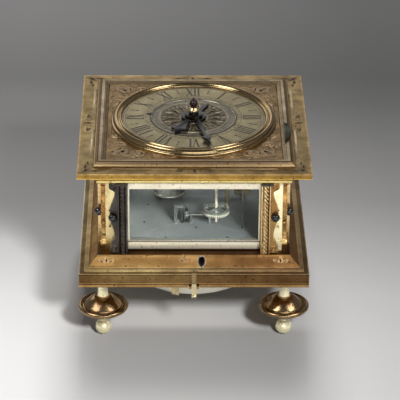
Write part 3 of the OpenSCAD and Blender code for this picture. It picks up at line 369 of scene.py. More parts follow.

# %% [markdown]
# Fire gilding is warm, so its colours step from yellow gold down to brown dirt. The bottom plate
# and the base are the brownest. The top plate and the moulding round the dial are paler, and the
# foliage between them is dull, because nothing rubs it. The strips of the border were burnished
# and stay bright, and the sprigs beside them are engraved and brown. A nearly black gilt is painted
# shade, for the front left column and wing, which mirror only dark, and for the ropes' grooves and
# caps. One call per finish keeps its four colours in one place, where they are easy to compare with
# a picture of the real piece.

# %% Gilded finishes
GILT = old_metal("old_gilt", (0.42, 0.23, 0.075), (0.24, 0.13, 0.045), (0.06, 0.035, 0.02),
                 (0.90, 0.62, 0.26), (0.3, 0.48))
BASE_GILT = old_metal("base_gilt", (0.59, 0.36, 0.125), (0.37, 0.21, 0.075), (0.08, 0.04, 0.02),
                      (0.95, 0.72, 0.36), (0.40, 0.54))
TOP_GILT = old_metal("top_gilt", (0.565, 0.40, 0.165), (0.33, 0.23, 0.10), (0.09, 0.06, 0.035),
                     (0.80, 0.62, 0.33), (0.34, 0.5), 140.0)
MOULD_GILT = old_metal("moulding_gilt", (0.42, 0.32, 0.19), (0.30, 0.22, 0.13), (0.06, 0.04, 0.03),
                       (0.85, 0.68, 0.40), (0.34, 0.5))
RELIEF = old_metal("relief_gilt", (0.56, 0.41, 0.25), (0.42, 0.30, 0.18), (0.10, 0.06, 0.04),
                   (0.66, 0.51, 0.32), (0.5, 0.62), 200.0)
POLISH = old_metal("polished_strip", (0.80, 0.66, 0.42), (0.60, 0.47, 0.28), (0.2, 0.14, 0.09),
                   (0.95, 0.82, 0.56), (0.3, 0.42))
ENGRAVED = old_metal("engraved_brown", (0.33, 0.235, 0.13), (0.24, 0.17, 0.095), (0.07, 0.05, 0.03),
                     (0.36, 0.27, 0.16), (0.5, 0.62), 200.0)
ROSE = old_metal("rose_gilt", (0.66, 0.43, 0.22), (0.52, 0.32, 0.15), (0.16, 0.09, 0.05),
                 (0.76, 0.54, 0.32), (0.5, 0.62))
WING_GOLD = old_metal("wing_gilt", (0.66, 0.44, 0.17), (0.40, 0.23, 0.08), (0.07, 0.03, 0.02),
                      (0.95, 0.76, 0.40), (0.2, 0.4), 120.0)
COLUMN_GOLD = old_metal("column_gilt", (1.0, 0.78, 0.42), (0.82, 0.58, 0.28), (0.10, 0.06, 0.03),
                        (0.98, 0.84, 0.52), (0.2, 0.36), 120.0)
# Painted shade: a nearly black gilt for what lies in shade or mirrors only dark.
SHADE_GILT = old_metal("painted_shade_gilt", (0.115, 0.10, 0.088), (0.07, 0.062, 0.058), (0.02, 0.015, 0.015),
                    (0.26, 0.22, 0.15), (0.26, 0.42))
print("gilded finishes", GILT.name, "to", SHADE_GILT.name)

# %% [markdown]
# Feet, posts, frieze, latch, bell and window frames are cast or turned brass, rubbed bright, and
# in the photograph they are the palest metal. Some of them are a little less than fully metallic,
# as if under an old lacquer, so that their colour shows even where they mirror a dark room. The
# keyhole's bush is greyer, and the wheels inside are plain clock brass.

# %% Bright finishes
PALE = old_metal("pale_gold", (0.92, 0.78, 0.42), (0.80, 0.64, 0.30), (0.36, 0.22, 0.09),
                 (1.0, 0.94, 0.70), (0.18, 0.34))
IVORY = old_metal("ivory_gold", (1.0, 0.95, 0.68), (0.96, 0.86, 0.52), (0.55, 0.38, 0.15),
                  (1.0, 0.98, 0.84), (0.2, 0.34), metallic=0.75)
# Painted highlight: a brighter pale gold for the two posts on the lit right side.
LIT_POST_GOLD = old_metal("lit_post_gold", (1.0, 0.95, 0.64), (0.96, 0.88, 0.54), (0.40, 0.26, 0.10),
                      (1.0, 0.96, 0.74), (0.2, 0.36), metallic=0.7)
LATCH_GOLD = old_metal("latch_gold", (0.92, 0.82, 0.54), (0.80, 0.70, 0.42), (0.36, 0.24, 0.10),
                       (1.0, 0.94, 0.70), (0.2, 0.36))
FRIEZE = old_metal("frieze_gold", (0.97, 0.82, 0.36), (0.82, 0.64, 0.24), (0.30, 0.18, 0.06),
                   (1.0, 0.94, 0.62), (0.2, 0.36))
BELL = old_metal("bell_metal", (1.0, 0.98, 0.86), (0.98, 0.94, 0.78), (0.6, 0.5, 0.34),
                 (1.0, 0.98, 0.88), (0.26, 0.38), 40.0)
CREAM = old_metal("cream_gilt", (0.97, 0.91, 0.73), (0.90, 0.83, 0.64), (0.50, 0.42, 0.28),
                  (0.96, 0.92, 0.80), (0.28, 0.40), metallic=0.8)
BAR_CREAM = old_metal("bar_cream", (0.78, 0.75, 0.66), (0.66, 0.62, 0.52), (0.40, 0.34, 0.24),
                      (0.95, 0.93, 0.86), (0.25, 0.38))
BUSH = old_metal("bush_gilt", (0.42, 0.37, 0.30), (0.33, 0.28, 0.23), (0.14, 0.11, 0.08),
                 (0.55, 0.49, 0.39), (0.32, 0.42))
BRASS = old_metal("clock_brass", (0.84, 0.72, 0.46), (0.70, 0.56, 0.30), (0.28, 0.20, 0.10),
                  (0.97, 0.90, 0.68), (0.16, 0.30))
print("bright finishes", PALE.name, "to", BRASS.name)

# %% [markdown]
# Hour ring and disc are silvered brass, yellow with age. The lower movement plate is nearly matt.
# Steel is blued on screws, black on the ball studs and dull in the movement, and the saucers of
# the feet are a dark bronze. Balls and saucers are smooth, so their clear reflections tell that
# they were turned.

# %% Silver, steel and bronze
SILVER = old_metal("silvered_brass", (0.45, 0.385, 0.225), (0.37, 0.31, 0.175), (0.14, 0.11, 0.07),
                   (0.66, 0.58, 0.40), (0.34, 0.46), 120.0)
DISC = old_metal("disc_silver", (0.235, 0.215, 0.15), (0.185, 0.165, 0.115), (0.07, 0.055, 0.04),
                 (0.50, 0.45, 0.34), (0.3, 0.42), 160.0)
PLATE = old_metal("polished_plate", (0.26, 0.275, 0.26), (0.195, 0.215, 0.21), (0.13, 0.14, 0.13),
                  (0.85, 0.84, 0.78), (0.5, 0.62), 45.0, metallic=0.55)
DULL = old_metal("dull_steel", (0.20, 0.20, 0.18), (0.15, 0.15, 0.14), (0.08, 0.08, 0.07),
                 (0.40, 0.39, 0.35), (0.4, 0.5))
STEEL = old_metal("blued_steel", (0.022, 0.022, 0.026), (0.032, 0.027, 0.026), (0.02, 0.02, 0.02),
                  (0.20, 0.19, 0.19), (0.22, 0.38))
CATCH = old_metal("catch_steel", (0.12, 0.108, 0.075), (0.085, 0.078, 0.055), (0.03, 0.03, 0.03),
                  (0.008, 0.008, 0.008), (0.3, 0.42), 150.0)
BLACK = old_metal("black_steel", (0.090, 0.092, 0.10), (0.070, 0.070, 0.075), (0.03, 0.03, 0.03),
                  (0.16, 0.16, 0.16), (0.06, 0.12), bump=0.01)
BRONZE = old_metal("dark_bronze", (0.43, 0.29, 0.15), (0.31, 0.20, 0.10), (0.05, 0.03, 0.02),
                   (0.80, 0.56, 0.28), (0.16, 0.30))
print("metals", len(bpy.data.materials))

# %% [markdown]
# A second function multiplies a metal's colour inside a band of the piece's own space: along X, Y
# or Z, along the square, which is the larger of the distances from the clock's two middle planes,
# or along the radius of the dial. Some bands are the metal's own tone. Many are painted light:
# painted highlights on bright fillets and edges, painted shade in creases and on the sides that the
# light misses, and painted shadows in gaps and at the foot of the window frames. Others only make a
# band darker or brighter.

# %% Bands of tone, painted highlight and painted shade


def tint(material, colour, axis, low, high, soft):
    """Multiplies the colour of a metal between two places along an axis, in millimetres."""
    tree = material.node_tree
    place = add(tree, "TexCoord")
    split = add(tree, "SeparateXYZ")
    tree.links.new(place.outputs["Object"], split.inputs[0])
    if axis == "SQUARE":
        sides = [computed(tree, "ABSOLUTE", split.outputs[name]) for name in ("X", "Y")]
        value = computed(tree, "MAXIMUM", *sides)
    elif axis == "ROUND":
        flat = add(tree, "VectorMath", {1: (1, 1, 0)}, operation="MULTIPLY")
        length = add(tree, "VectorMath", operation="LENGTH")
        tree.links.new(place.outputs["Object"], flat.inputs[0])
        tree.links.new(flat.outputs[0], length.inputs[0])
        value = length.outputs["Value"]
    else:
        value = split.outputs[axis]
    rise = ranged(tree, value, (low - soft) * MM, (low + soft) * MM)
    drop = ranged(tree, value, (high - soft) * MM, (high + soft) * MM, 1.0, 0.0)
    inside = computed(tree, "MULTIPLY", rise, drop)
    target = shader_of(material).inputs["Base Color"]
    plain = target.links[0].from_socket
    tree.links.new(mix_colour(tree, inside, plain, colour, "MULTIPLY"), target)


# A row holds the metal, the factors of its colour, the axis, both ends and the softness.
BANDS = (
    # The base.
    # A darker, browner fascia.
    (BASE_GILT, (0.56, 0.58, 0.62), "Z", 30.0, 45.7, 0.1),
    # Painted highlights on the fillet and on the base's two side edges.
    (BASE_GILT, (1.65, 2.15, 2.9), "Z", 45.8, 47.2, 0.1),
    (BASE_GILT, (1.8, 2.3, 3.2), "X", -70.0, -64.8, 0.08),
    (BASE_GILT, (1.8, 2.3, 3.2), "X", 64.8, 70.0, 0.08),
    # Painted shadow of the window frames on the ledge, and painted shade in the crease under the fillet.
    (BASE_GILT, (0.22, 0.17, 0.13), "Z", 52.6, 53.5, 0.08),
    (BASE_GILT, (0.5, 0.5, 0.5), "Z", 45.0, 45.7, 0.05),
    # Painted highlight on the lower edge.
    (BASE_GILT, (1.9, 1.9, 1.9), "Z", 38.8, 40.2, 0.15),
    # Painted shade on the right, which also turns the colour redder.
    (BASE_GILT, (0.60, 0.52, 0.52), "X", 5.0, 200.0, 30.0),
    # Painted shade at the left end.
    (BASE_GILT, (0.70, 0.65, 0.60), "X", -80.0, -55.0, 5.0),
    # A darker step outside the slope.
    (BASE_GILT, (0.40, 0.38, 0.36), "SQUARE", 62.1, 64.3, 0.15),
    # The top plate.
    # Darker and browner below the top face, and brighter again lower down.
    (TOP_GILT, (0.63, 0.575, 0.36), "Z", 90.0, 108.7, 0.1),
    (TOP_GILT, (2.2, 2.2, 2.2), "Z", 90.0, 106.4, 0.1),
    # Slightly darker towards the front.
    (TOP_GILT, (0.92, 0.88, 0.83), "Y", -64.2, -56.0, 0.3),
    # Painted highlight on the outer edge.
    (TOP_GILT, (1.5, 1.4, 1.25), "SQUARE", 64.2, 70.0, 0.15),
    # A dark line just outside the moulding, and a darker field.
    (TOP_GILT, (0.35, 0.3, 0.3), "SQUARE", 55.8, 56.5, 0.1),
    (TOP_GILT, (0.76, 0.67, 0.62), "SQUARE", -1.0, 49.3, 0.2),
    # Painted shade on the right.
    (TOP_GILT, (0.86, 0.84, 0.82), "X", 40.0, 200.0, 40.0),
    # The moulding round the dial.
    # Painted highlight on the outer edge, then the metal's own reddish band, a dark groove, its own pale
    # band and a dark inner line.
    (MOULD_GILT, (1.9, 1.8, 1.5), "SQUARE", 55.3, 60.0, 0.1),
    (MOULD_GILT, (0.95, 0.82, 0.74), "SQUARE", 54.2, 55.2, 0.1),
    (MOULD_GILT, (0.30, 0.25, 0.22), "SQUARE", 53.6, 54.2, 0.08),
    (MOULD_GILT, (1.5, 1.5, 1.5), "SQUARE", 51.9, 53.4, 0.1),
    (MOULD_GILT, (0.45, 0.40, 0.36), "SQUARE", 51.4, 51.9, 0.08),
    # Painted shade on the front.
    (MOULD_GILT, (0.80, 0.80, 0.82), "Y", -60.0, -53.4, 0.1),
    # Hour ring, disc, window frames, feet, latch, bottom plate, movement plates and wings.
    # Painted shade on the right of the hour ring, and the disc's own browner middle.
    (SILVER, (0.90, 0.88, 0.86), "X", 20.0, 200.0, 25.0),
    (DISC, (0.80, 0.66, 0.56), "ROUND", -1.0, 18.9, 0.2),
    # Painted shadow at the foot of the window frames, and a dark line just under the bars.
    (CREAM, (0.10, 0.07, 0.05), "Z", 52.0, 53.9, 0.1),
    (CREAM, (0.20, 0.17, 0.13), "Z", 58.1, 58.9, 0.1),
    # The spindles' own dark collar, and a darker upper part of the latch.
    (IVORY, (0.42, 0.28, 0.16), "Z", 24.0, 25.2, 0.1),
    (LATCH_GOLD, (0.40, 0.31, 0.24), "Z", 40.4, 60.0, 0.1),
    # Painted highlight on the lower edge of the bottom plate, and painted shadow in the gap above it.
    (GILT, (1.9, 2.1, 2.4), "Z", 37.9, 38.7, 0.1),
    (GILT, (0.15, 0.12, 0.1), "Z", 39.2, 40.3, 0.1),
    # A darker upper plate.
    (PLATE, (0.5, 0.5, 0.5), "Z", 57.4, 90.0, 0.1),
    # Painted shade on the upper part of the wings, which also turns it redder.
    (WING_GOLD, (0.86, 0.72, 0.62), "Z", 76.0, 120.0, 3.0),
    # Painted shade on the lower plate, towards the back and towards the right.
    (PLATE, (0.80, 0.80, 0.80), "Y", 10.0, 60.0, 14.0),
    (PLATE, (0.72, 0.74, 0.78), "X", 2.0, 60.0, 18.0),
)
for band in BANDS:
    tint(*band)
print("bands", len(BANDS))

# %% [markdown]
# ## Tools of the workshop
# A few small functions do most of the modelling. The first works like a lathe: it starts from a
# circle, and extrudes and resizes its open edge ring by ring down a profile. The profile is a list
# of radii and heights in millimetres. Where it comes back to its start, the ring is closed.

# %% The lathe


def turned(name, centre, profile, sides=64):
    """A piece turned on an upright axis, capped unless the profile ends where it began."""
    deselect()
    x, y = centre[0] * MM, centre[1] * MM
    r, z = profile[0]
    start = (x, y, z * MM)
    bpy.ops.mesh.primitive_circle_add(vertices=sides, radius=r * MM, fill_type="NOTHING", location=start)
    piece = bpy.context.object
    piece.name = piece.data.name = name
    bpy.ops.object.transform_apply()
    bpy.ops.object.mode_set(mode="EDIT")
    bpy.ops.mesh.select_mode(type="EDGE")
    bpy.ops.mesh.select_all(action="SELECT")
    for r1, z1 in profile[1:]:
        bpy.ops.mesh.extrude_region_move(TRANSFORM_OT_translate={"value": (0, 0, (z1 - z) * MM)})
        bpy.ops.transform.resize(value=(r1 / r, r1 / r, 1), center_override=(x, y, z1 * MM))
        r, z = r1, z1
    bpy.ops.mesh.select_all(action="SELECT")
    if (r, z) == tuple(profile[0]):
        bpy.ops.mesh.remove_doubles(threshold=0.000002)
    else:
        bpy.ops.mesh.fill_holes(sides=0)
    bpy.ops.mesh.select_all(action="SELECT")
    bpy.ops.mesh.normals_make_consistent(inside=False)
    bpy.ops.object.mode_set(mode="OBJECT")
    return piece


print("lathe ready")

# %% [markdown]
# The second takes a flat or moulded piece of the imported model, welds its corners, and rounds its
# edges a little. No real metal edge is perfectly sharp, and the thin bright line on a rounded edge
# is what tells the eye that it looks at metal.

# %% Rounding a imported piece


def pick(*pieces):
    """Only these pieces selected, with the first one active."""
    deselect()
    for piece in pieces:
        piece.select_set(True)
    bpy.context.view_layer.objects.active = pieces[0]


def softened(node, width, segments, angle):
    """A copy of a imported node, welded, its edges above an angle rounded by a width in millimetres."""
    piece = bpy.data.objects.new(node + "_piece", nodes[node].data.copy())
    scene.collection.objects.link(piece)
    pick(piece)
    bpy.ops.object.mode_set(mode="EDIT")
    bpy.ops.mesh.select_all(action="SELECT")
    bpy.ops.mesh.remove_doubles(threshold=0.000004)
    bpy.ops.mesh.dissolve_limited(angle_limit=math.radians(0.5))
    bpy.ops.object.mode_set(mode="OBJECT")
    edge = piece.modifiers.new("rounded_edges", "BEVEL")
    edge.width = width * MM
    edge.segments = segments
    edge.limit_method = "ANGLE"
    edge.angle_limit = math.radians(angle)
    bpy.ops.object.modifier_apply(modifier="rounded_edges")
    return piece


print("rounding ready")

# %% [markdown]
# The third hands a piece over: it smooths the faces between real edges, gives the finish, and ties
# the piece to the body of the clock that it moves with. Most flat pieces are rounded and handed
# over in one go.

# %% Handing over


def hand_over(piece, body, material, replaces=(), smooth=35.0):
    """The finished piece gets its finish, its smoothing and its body."""
    pick(piece)
    bpy.ops.object.transform_apply()
    bpy.ops.object.shade_smooth_by_angle(angle=math.radians(smooth))
    piece.data.materials.clear()
    piece.data.materials.append(material)
    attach(piece, body)
    if replaces:
        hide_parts(*replaces)
    return piece


def dress(node, body, material, width, segments=2, angle=28.0, smooth=35.0):
    """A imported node, rounded and handed over in the place of the node."""
    return hand_over(softened(node, width, segments, angle), body, material, [node], smooth)


print("handing over ready")

# %% [markdown]
# What repeats is modelled once. The next functions make turned or mirrored copies, each with its
# own mesh, carry a piece round the clock's axis, press it flatter, lay a turned piece on its side,
# join several pieces, and throw away a pattern that has been copied.

# %% Copies


def twin(piece, name, move=(0, 0, 0), turn=0.0, mirror=None):
    """A copy with its own mesh: mirrored, turned about the clock's axis, then moved in millimetres."""
    mesh = piece.data.copy()
    if mirror:
        mesh.transform(Matrix.Scale(-1, 4, Vector(mirror)))
        mesh.flip_normals()
    mesh.transform(Matrix.Translation(Vector(move) * MM) @ Matrix.Rotation(math.radians(turn), 4, "Z"))
    other = bpy.data.objects.new(name, mesh)
    scene.collection.objects.link(other)
    return other


def swung(piece, turn):
    """The same piece, carried round the clock's axis by an angle."""
    piece.data.transform(Matrix.Rotation(math.radians(turn), 4, "Z"))
    return piece


def flattened(piece, share, ground):
    """The same piece, with its height above a level in millimetres cut to a share."""
    down = Matrix.Translation((0, 0, -ground * MM))
    up = Matrix.Translation((0, 0, ground * MM))
    piece.data.transform(up @ Matrix.Scale(share, 4, (0, 0, 1)) @ down)
    return piece


TO_FRONT, TO_RIGHT = (math.radians(90), 0, 0), (0, math.radians(90), 0)


def laid_over(piece, turn, place):
    """A turned piece laid over so that its axis is level, at a place in millimetres."""
    pick(piece)
    piece.rotation_euler = turn
    piece.location = Vector(place) * MM
    bpy.ops.object.transform_apply()
    return piece


def joined(name, pieces):
    """Several pieces made into one mesh."""
    pick(*pieces)
    bpy.ops.object.join()
    pieces[0].name = pieces[0].data.name = name
    return pieces[0]


def discard(*pieces):
    """Takes patterns away, once their copies stand in the clock."""
    for piece in pieces:
        bpy.data.objects.remove(piece)


print("tools ready")

# %% [markdown]
# ## The feet
# A foot is a spindle with a ball at its end, and a saucer held between ball and stem. The saucer's
# top is a steep dome under a small collar, a groove parts it from the rim, and the rim is a full
# round that catches a bright line all the way round. Both profiles are read from the centre
# outwards and turned on the lathe.

# %% Feet
FOOT_AT = 51.8
SPINDLE = [(0.05, 0), (1.3, 0), (2.35, 0.42), (3.35, 1.22), (4.1, 2.25), (4.55, 3.5), (4.65, 4.5),
           (4.55, 5.4), (4.15, 6.6), (3.5, 7.5), (2.7, 8.2), (2.15, 8.6), (2.0, 9.2), (2.0, 24.3),
           (3.5, 24.32), (3.7, 24.5), (3.75, 24.7), (3.65, 24.95), (3.3, 25.1), (3.1, 25.2),
           (3.0, 25.6), (2.95, 27), (2.9, 34), (3.0, 36.4), (3.0, 37.4), (0.05, 37.4)]
SAUCER = [(2.04, 24.3), (3.9, 24.3), (4.8, 24.2), (5.8, 23.85), (6.8, 23.25), (7.9, 22.35),
          (9.0, 21.35), (10.0, 20.4), (10.7, 19.7), (11.05, 19.15), (11.15, 18.65), (11.45, 18.55),
          (11.7, 18.75), (11.95, 19.15), (12.4, 19.5), (13.0, 19.62), (13.6, 19.5), (14.1, 19.1),
          (14.4, 18.55), (14.44, 18.1), (14.25, 17.5), (13.8, 17.05), (13.2, 16.85), (12.6, 16.85),
          (12.2, 16.6), (11.4, 16.0), (10.0, 14.95), (8.4, 13.6), (7.0, 12.55), (5.6, 11.6),
          (4.6, 11.2), (4.2, 11.1), (2.04, 11.1), (2.04, 24.3)]
spindle = turned("spindle", (0, 0), SPINDLE, 48)
saucer = turned("saucer", (0, 0), SAUCER, 72)
for corner, right, deep in (("fl", -1, -1), ("fr", 1, -1), ("bl", -1, 1), ("br", 1, 1)):
    place = (right * FOOT_AT, deep * FOOT_AT, 0)
    foot = twin(spindle, "spindle_" + corner, place)
    dish = twin(saucer, "saucer_" + corner, place)
    hand_over(foot, "stand", IVORY, ["foot_spindle_" + corner])
    hand_over(dish, "stand", BRONZE, ["foot_saucer_" + corner])
discard(spindle, saucer)
print("feet done")

# %% [markdown]
# ## The bell
# The bell is a shallow dome with its mouth up. Only a sliver of its side shows under the case from
# the front, but it is whole: the wall is the space between two ellipses, with a rounded lip. Both
# stop a few degrees before the axis, where the stud passes. Stud, nut and strap hold the bell to
# the base.

# %% Bell
BELL_RIM, BELL_R, BELL_DEEP, BELL_END = 36.4, 50.0, 29.0, 87.1
HOLLOW_R, HOLLOW_DEEP, HOLLOW_END = 48.4, 27.4, 87.0
BELL_STEPS = 30
outside, inside = [], []
for step in range(BELL_STEPS + 1):
    t = math.radians(BELL_END * (1 - step / BELL_STEPS))
    outside.append((BELL_R * math.cos(t), BELL_RIM - BELL_DEEP * math.sin(t)))
for step in range(BELL_STEPS + 1):
    t = math.radians(HOLLOW_END * step / BELL_STEPS)
    inside.append((HOLLOW_R * math.cos(t), BELL_RIM - HOLLOW_DEEP * math.sin(t)))
outside[-1:] = [(50.0, 35.6), (49.98, 36.25), (49.7, BELL_RIM)]
bell = turned("bell_piece", (0, 0), outside + inside + [outside[0]], 128)
hand_over(bell, "stand", BELL, ["bell"])
for node in ("bell_stud", "bell_nut", "bell_strap"):
    dress(node, "stand", PALE, 0.2)
print("bell", BELL_R * 2, "mm across")

# %% [markdown]
# ## The case
# The flat and moulded parts of the case keep the imported shapes, with their edges rounded. What
# was planished flat gets a narrow rounding. The S-shaped slope of the base is made of strips that
# meet at small angles, so only edges sharper than 40 degrees are rounded there, and the slope
# stays smooth. The two posts on the right get a brighter finish, a painted highlight on the lit side.

# %% Plates and mouldings
# A row holds the node, its body, its slot, its finish, the rounding, and the least angle to round.
CASE_PIECES = (
    ("bottom_plate", "stand", "gilt", GILT, 0.25, 28.0),
    ("base_moulding", "case", "gilt", BASE_GILT, 0.22, 40.0),
    ("upper_frame", "case", "pale_gold", FRIEZE, 0.18, 20.0),
    ("top_moulding", "case", "gilt", MOULD_GILT, 0.12, 12.0),
    ("base_hinge_leaf", "stand", "gilt", GILT, 0.15, 28.0),
    ("case_hinge_leaf", "case", "gilt", GILT, 0.15, 28.0),
    ("latch", "latch", "pale_gold", LATCH_GOLD, 0.12, 28.0),
    ("hinge_pin", "stand", "blued_steel", STEEL, 0.1, 28.0),
)
for node, body, slot, finish, width, angle in CASE_PIECES:
    dress(node, body, finish, width, angle=angle)
# The posts on the right get the brighter pale gold, a painted highlight.
for corner, finish in (("fl", PALE), ("fr", LIT_POST_GOLD), ("bl", PALE), ("br", LIT_POST_GOLD)):
    dress("corner_post_" + corner, "case", finish, 0.15)
SIDES = ("front", "right", "back", "left")
for side in SIDES:
    dress("window_frame_" + side, "case", CREAM, 0.16)
print("case pieces", len(CASE_PIECES), "with 4 posts and", len(SIDES), "frames")

# %% [markdown]
# The bezel is turned like the feet: an inner lip round the chapter ring, a narrow groove, then a
# broad round that falls in a small step to the plate. The keyhole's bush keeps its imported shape,
# a drop with its point down.

# %% Bezel and bush
BEZEL = [(41.2, 110.6), (41.2, 112.9), (41.35, 113.4), (41.7, 113.75), (42.1, 113.8),
         (42.4, 113.6), (42.6, 113.2), (42.75, 112.9), (43.0, 112.8), (43.2, 113.0), (43.45, 113.5),
         (43.9, 113.95), (44.5, 114.18), (45.1, 114.1), (45.6, 113.75), (45.95, 113.2),
         (46.15, 112.6), (46.2, 112.25), (46.4, 112.05), (46.75, 112.0), (47.1, 111.8),
         (47.35, 111.4), (47.4, 111.0), (47.4, 110.6), (41.2, 110.6)]
BEZEL_GOLD = old_metal("bezel_gold", (0.46, 0.335, 0.175), (0.37, 0.26, 0.125), (0.12, 0.07, 0.03),
                       (0.80, 0.64, 0.36), (0.12, 0.20), 60.0, bump=0.02)
bezel = turned("bezel_piece", (0, 0), BEZEL, 144)
hand_over(bezel, "case", BEZEL_GOLD, ["bezel"], 40.0)
dress("keyhole_bush", "case", BUSH, 0.12)
print("bezel", len(bezel.data.polygons), "faces")

# %% [markdown]
# A stud is a steel ball, flat where it sits. It is turned upright from an arc of a circle, laid over
# so that it points to the front, and copied to both ends of each side.

# %% Ball studs
STUD_R, STUD_FRONT, STUD_AT, STUD_Z = 2.5, -53.7, 45.7, 76.0
STUD_PROFILE = []
for degrees in (-28, -20, -10, 0, 10, 20, 30, 40, 50, 60, 70, 80, 88):
    t = math.radians(degrees)
    STUD_PROFILE.append((STUD_R * math.cos(t), STUD_R * math.sin(t)))
stud = laid_over(turned("stud", (0, 0), STUD_PROFILE, 40), TO_FRONT, (0, STUD_FRONT, STUD_Z))
balls = []
for quarter in range(4):
    for way in (-1, 1):
        balls.append(swung(twin(stud, "ball", (way * STUD_AT, 0, 0)), 90 * quarter))
discard(stud)
hand_over(joined("stud_balls", balls), "case", BLACK, ["ball_studs"])
print("studs", len(balls))

# %% [markdown]
# ## Roped columns and scrolled wings
# A roped column is a bar with a lobed section that turns as it rises. The section starts as a
# circle with four corners drawn in, and their neighbours a little, which leaves four round
# strands. It is then extruded in small steps, each turned by a few degrees, so the strands climb
# to the right. Two thin fillets frame it. A dark bar inside it is painted shade that shows in the
# grooves, and a dark cap over its top end is the painted shadow of the upper frame.

# %% Rope
ROPE_R, ROPE_STEPS, ROPE_TURN = 1.78, 108, 14.9
# Of every six points one is a corner, drawn in the most, and the points beside it follow a little.
LOBES = (((0,), 0.60), ((1, 5), 0.87), ((2, 4), 0.97))


def rope(name, x, y, low, high):
    """An upright rope of four strands."""
    deselect()
    centre = (x * MM, y * MM, low * MM)
    bpy.ops.mesh.primitive_circle_add(vertices=24, radius=ROPE_R * MM, fill_type="NOTHING", location=centre)
    piece = bpy.context.object
    piece.name = piece.data.name = name
    bpy.ops.object.transform_apply()
    for corners, share in LOBES:
        bpy.ops.object.mode_set(mode="EDIT")
        bpy.ops.mesh.select_mode(type="VERT")
        bpy.ops.mesh.select_all(action="DESELECT")
        bpy.ops.object.mode_set(mode="OBJECT")
        for index, corner in enumerate(piece.data.vertices):
            corner.select = index % 6 in corners
        bpy.ops.object.mode_set(mode="EDIT")
        bpy.ops.transform.resize(value=(share, share, 1), center_override=centre)
    bpy.ops.mesh.select_mode(type="EDGE")
    bpy.ops.mesh.select_all(action="SELECT")
    rise = (high - low) / ROPE_STEPS * MM
    for step in range(ROPE_STEPS):
        bpy.ops.mesh.extrude_region_move(TRANSFORM_OT_translate={"value": (0, 0, rise)})
        bpy.ops.transform.rotate(value=math.radians(ROPE_TURN), orient_axis="Z", center_override=centre)
    bpy.ops.mesh.select_all(action="SELECT")
    bpy.ops.mesh.fill_holes(sides=0)
    bpy.ops.mesh.normals_make_consistent(inside=False)
    bpy.ops.object.mode_set(mode="OBJECT")
    return piece


print("a rope has", ROPE_STEPS, "steps")

# %% Roped column
COLUMN_X, COLUMN_W, FACE, FOOT_Z, BODY_H = 37.6, 5.2, 49.8, 52.8, 44.8


def block(name, low, high, edge):
    """A bar between two corners in millimetres, with rounded edges."""
    deselect()
    low, high = Vector(low) * MM, Vector(high) * MM
    bpy.ops.mesh.primitive_cube_add(size=1, location=(low + high) / 2)
    piece = bpy.context.object
    piece.name = piece.data.name = name
    piece.scale = high - low
    bpy.ops.object.transform_apply()
    bpy.ops.object.mode_set(mode="EDIT")
    bpy.ops.mesh.select_all(action="SELECT")
    bpy.ops.mesh.bevel(offset=edge * MM, segments=2, affect="EDGES")
    bpy.ops.object.mode_set(mode="OBJECT")
    return piece


top_z = FOOT_Z + BODY_H
column_end = COLUMN_X + COLUMN_W
ROPE_X, ROPE_Y = COLUMN_X + 2.65, -FACE - 2.9
# Painted shade: a dark bar inside the rope shows in its grooves.
core = block("core", (COLUMN_X + 0.3, -FACE - 2.6, FOOT_Z), (column_end - 0.3, -FACE, top_z), 0.1)
groove_shade = turned("groove_shade", (ROPE_X, ROPE_Y), [(1.32, FOOT_Z + 0.12), (1.32, top_z - 0.12)], 20)
inner_fillet = block("inner_fillet", (COLUMN_X, -FACE - 4.6, FOOT_Z), (COLUMN_X + 0.75, -FACE, top_z), 0.2)
outer_fillet = block("outer_fillet", (column_end - 0.6, -FACE - 4.4, FOOT_Z),
                     (column_end, -FACE, top_z), 0.18)
strand = rope("strand", ROPE_X, ROPE_Y, FOOT_Z + 0.1, top_z - 0.1)
column = joined("column", [inner_fillet, outer_fillet, strand])
# Painted shadow of the upper frame: a dark cap over the column's top.
shadow_cap = block("shadow_cap", (COLUMN_X - 0.1, -FACE - 5.0, top_z - 1.2), (column_end + 1.4, -FACE, top_z), 0.1)
groove_shade = joined("groove_shade", [core, groove_shade, shadow_cap])
print("column", len(column.data.polygons), "faces")

# %% [markdown]
# A wing is a plate cut to a scrolled outline. It starts as a short strip beside the column. Its
# upper edge is extruded upwards again and again, and each time the strip is made wider or narrower
# about its inner end, which draws the two long curves. Thickness and rounded edges come last. A
# volute like a flat button goes on each end, and three beads stand at the outer edge.

# %% Scrolled wing
WING_X, WING_T, WING_STEPS = column_end, 2.7, 6
WING_FRONT = -FACE - WING_T
# The outline's turning points: height above the foot, and width.
WING = [(0, 4.6), (3, 4.9), (6.4, 3.6), (9.5, 1.8), (25.1, 4.7), (38.4, 1.6), (41.2, 4.9), (44.8, 5.0)]
deselect()
bpy.ops.mesh.primitive_plane_add(size=1, location=(0, 0, 0))
wing = bpy.context.object
wing.name = wing.data.name = "wing"
wing.rotation_euler = (math.radians(90), 0, 0)
wing.scale = (WING[0][1] * MM, 0.01 * MM, 1)
wing.location = ((WING_X + WING[0][1] / 2) * MM, -FACE * MM, FOOT_Z * MM)
bpy.ops.object.transform_apply()
bpy.ops.object.mode_set(mode="EDIT")
bpy.ops.mesh.select_mode(type="VERT")
bpy.ops.mesh.select_all(action="DESELECT")
bpy.ops.object.mode_set(mode="OBJECT")
for corner in wing.data.vertices:
    corner.select = corner.co.z > FOOT_Z * MM
bpy.ops.object.mode_set(mode="EDIT")
bpy.ops.mesh.select_mode(type="EDGE")
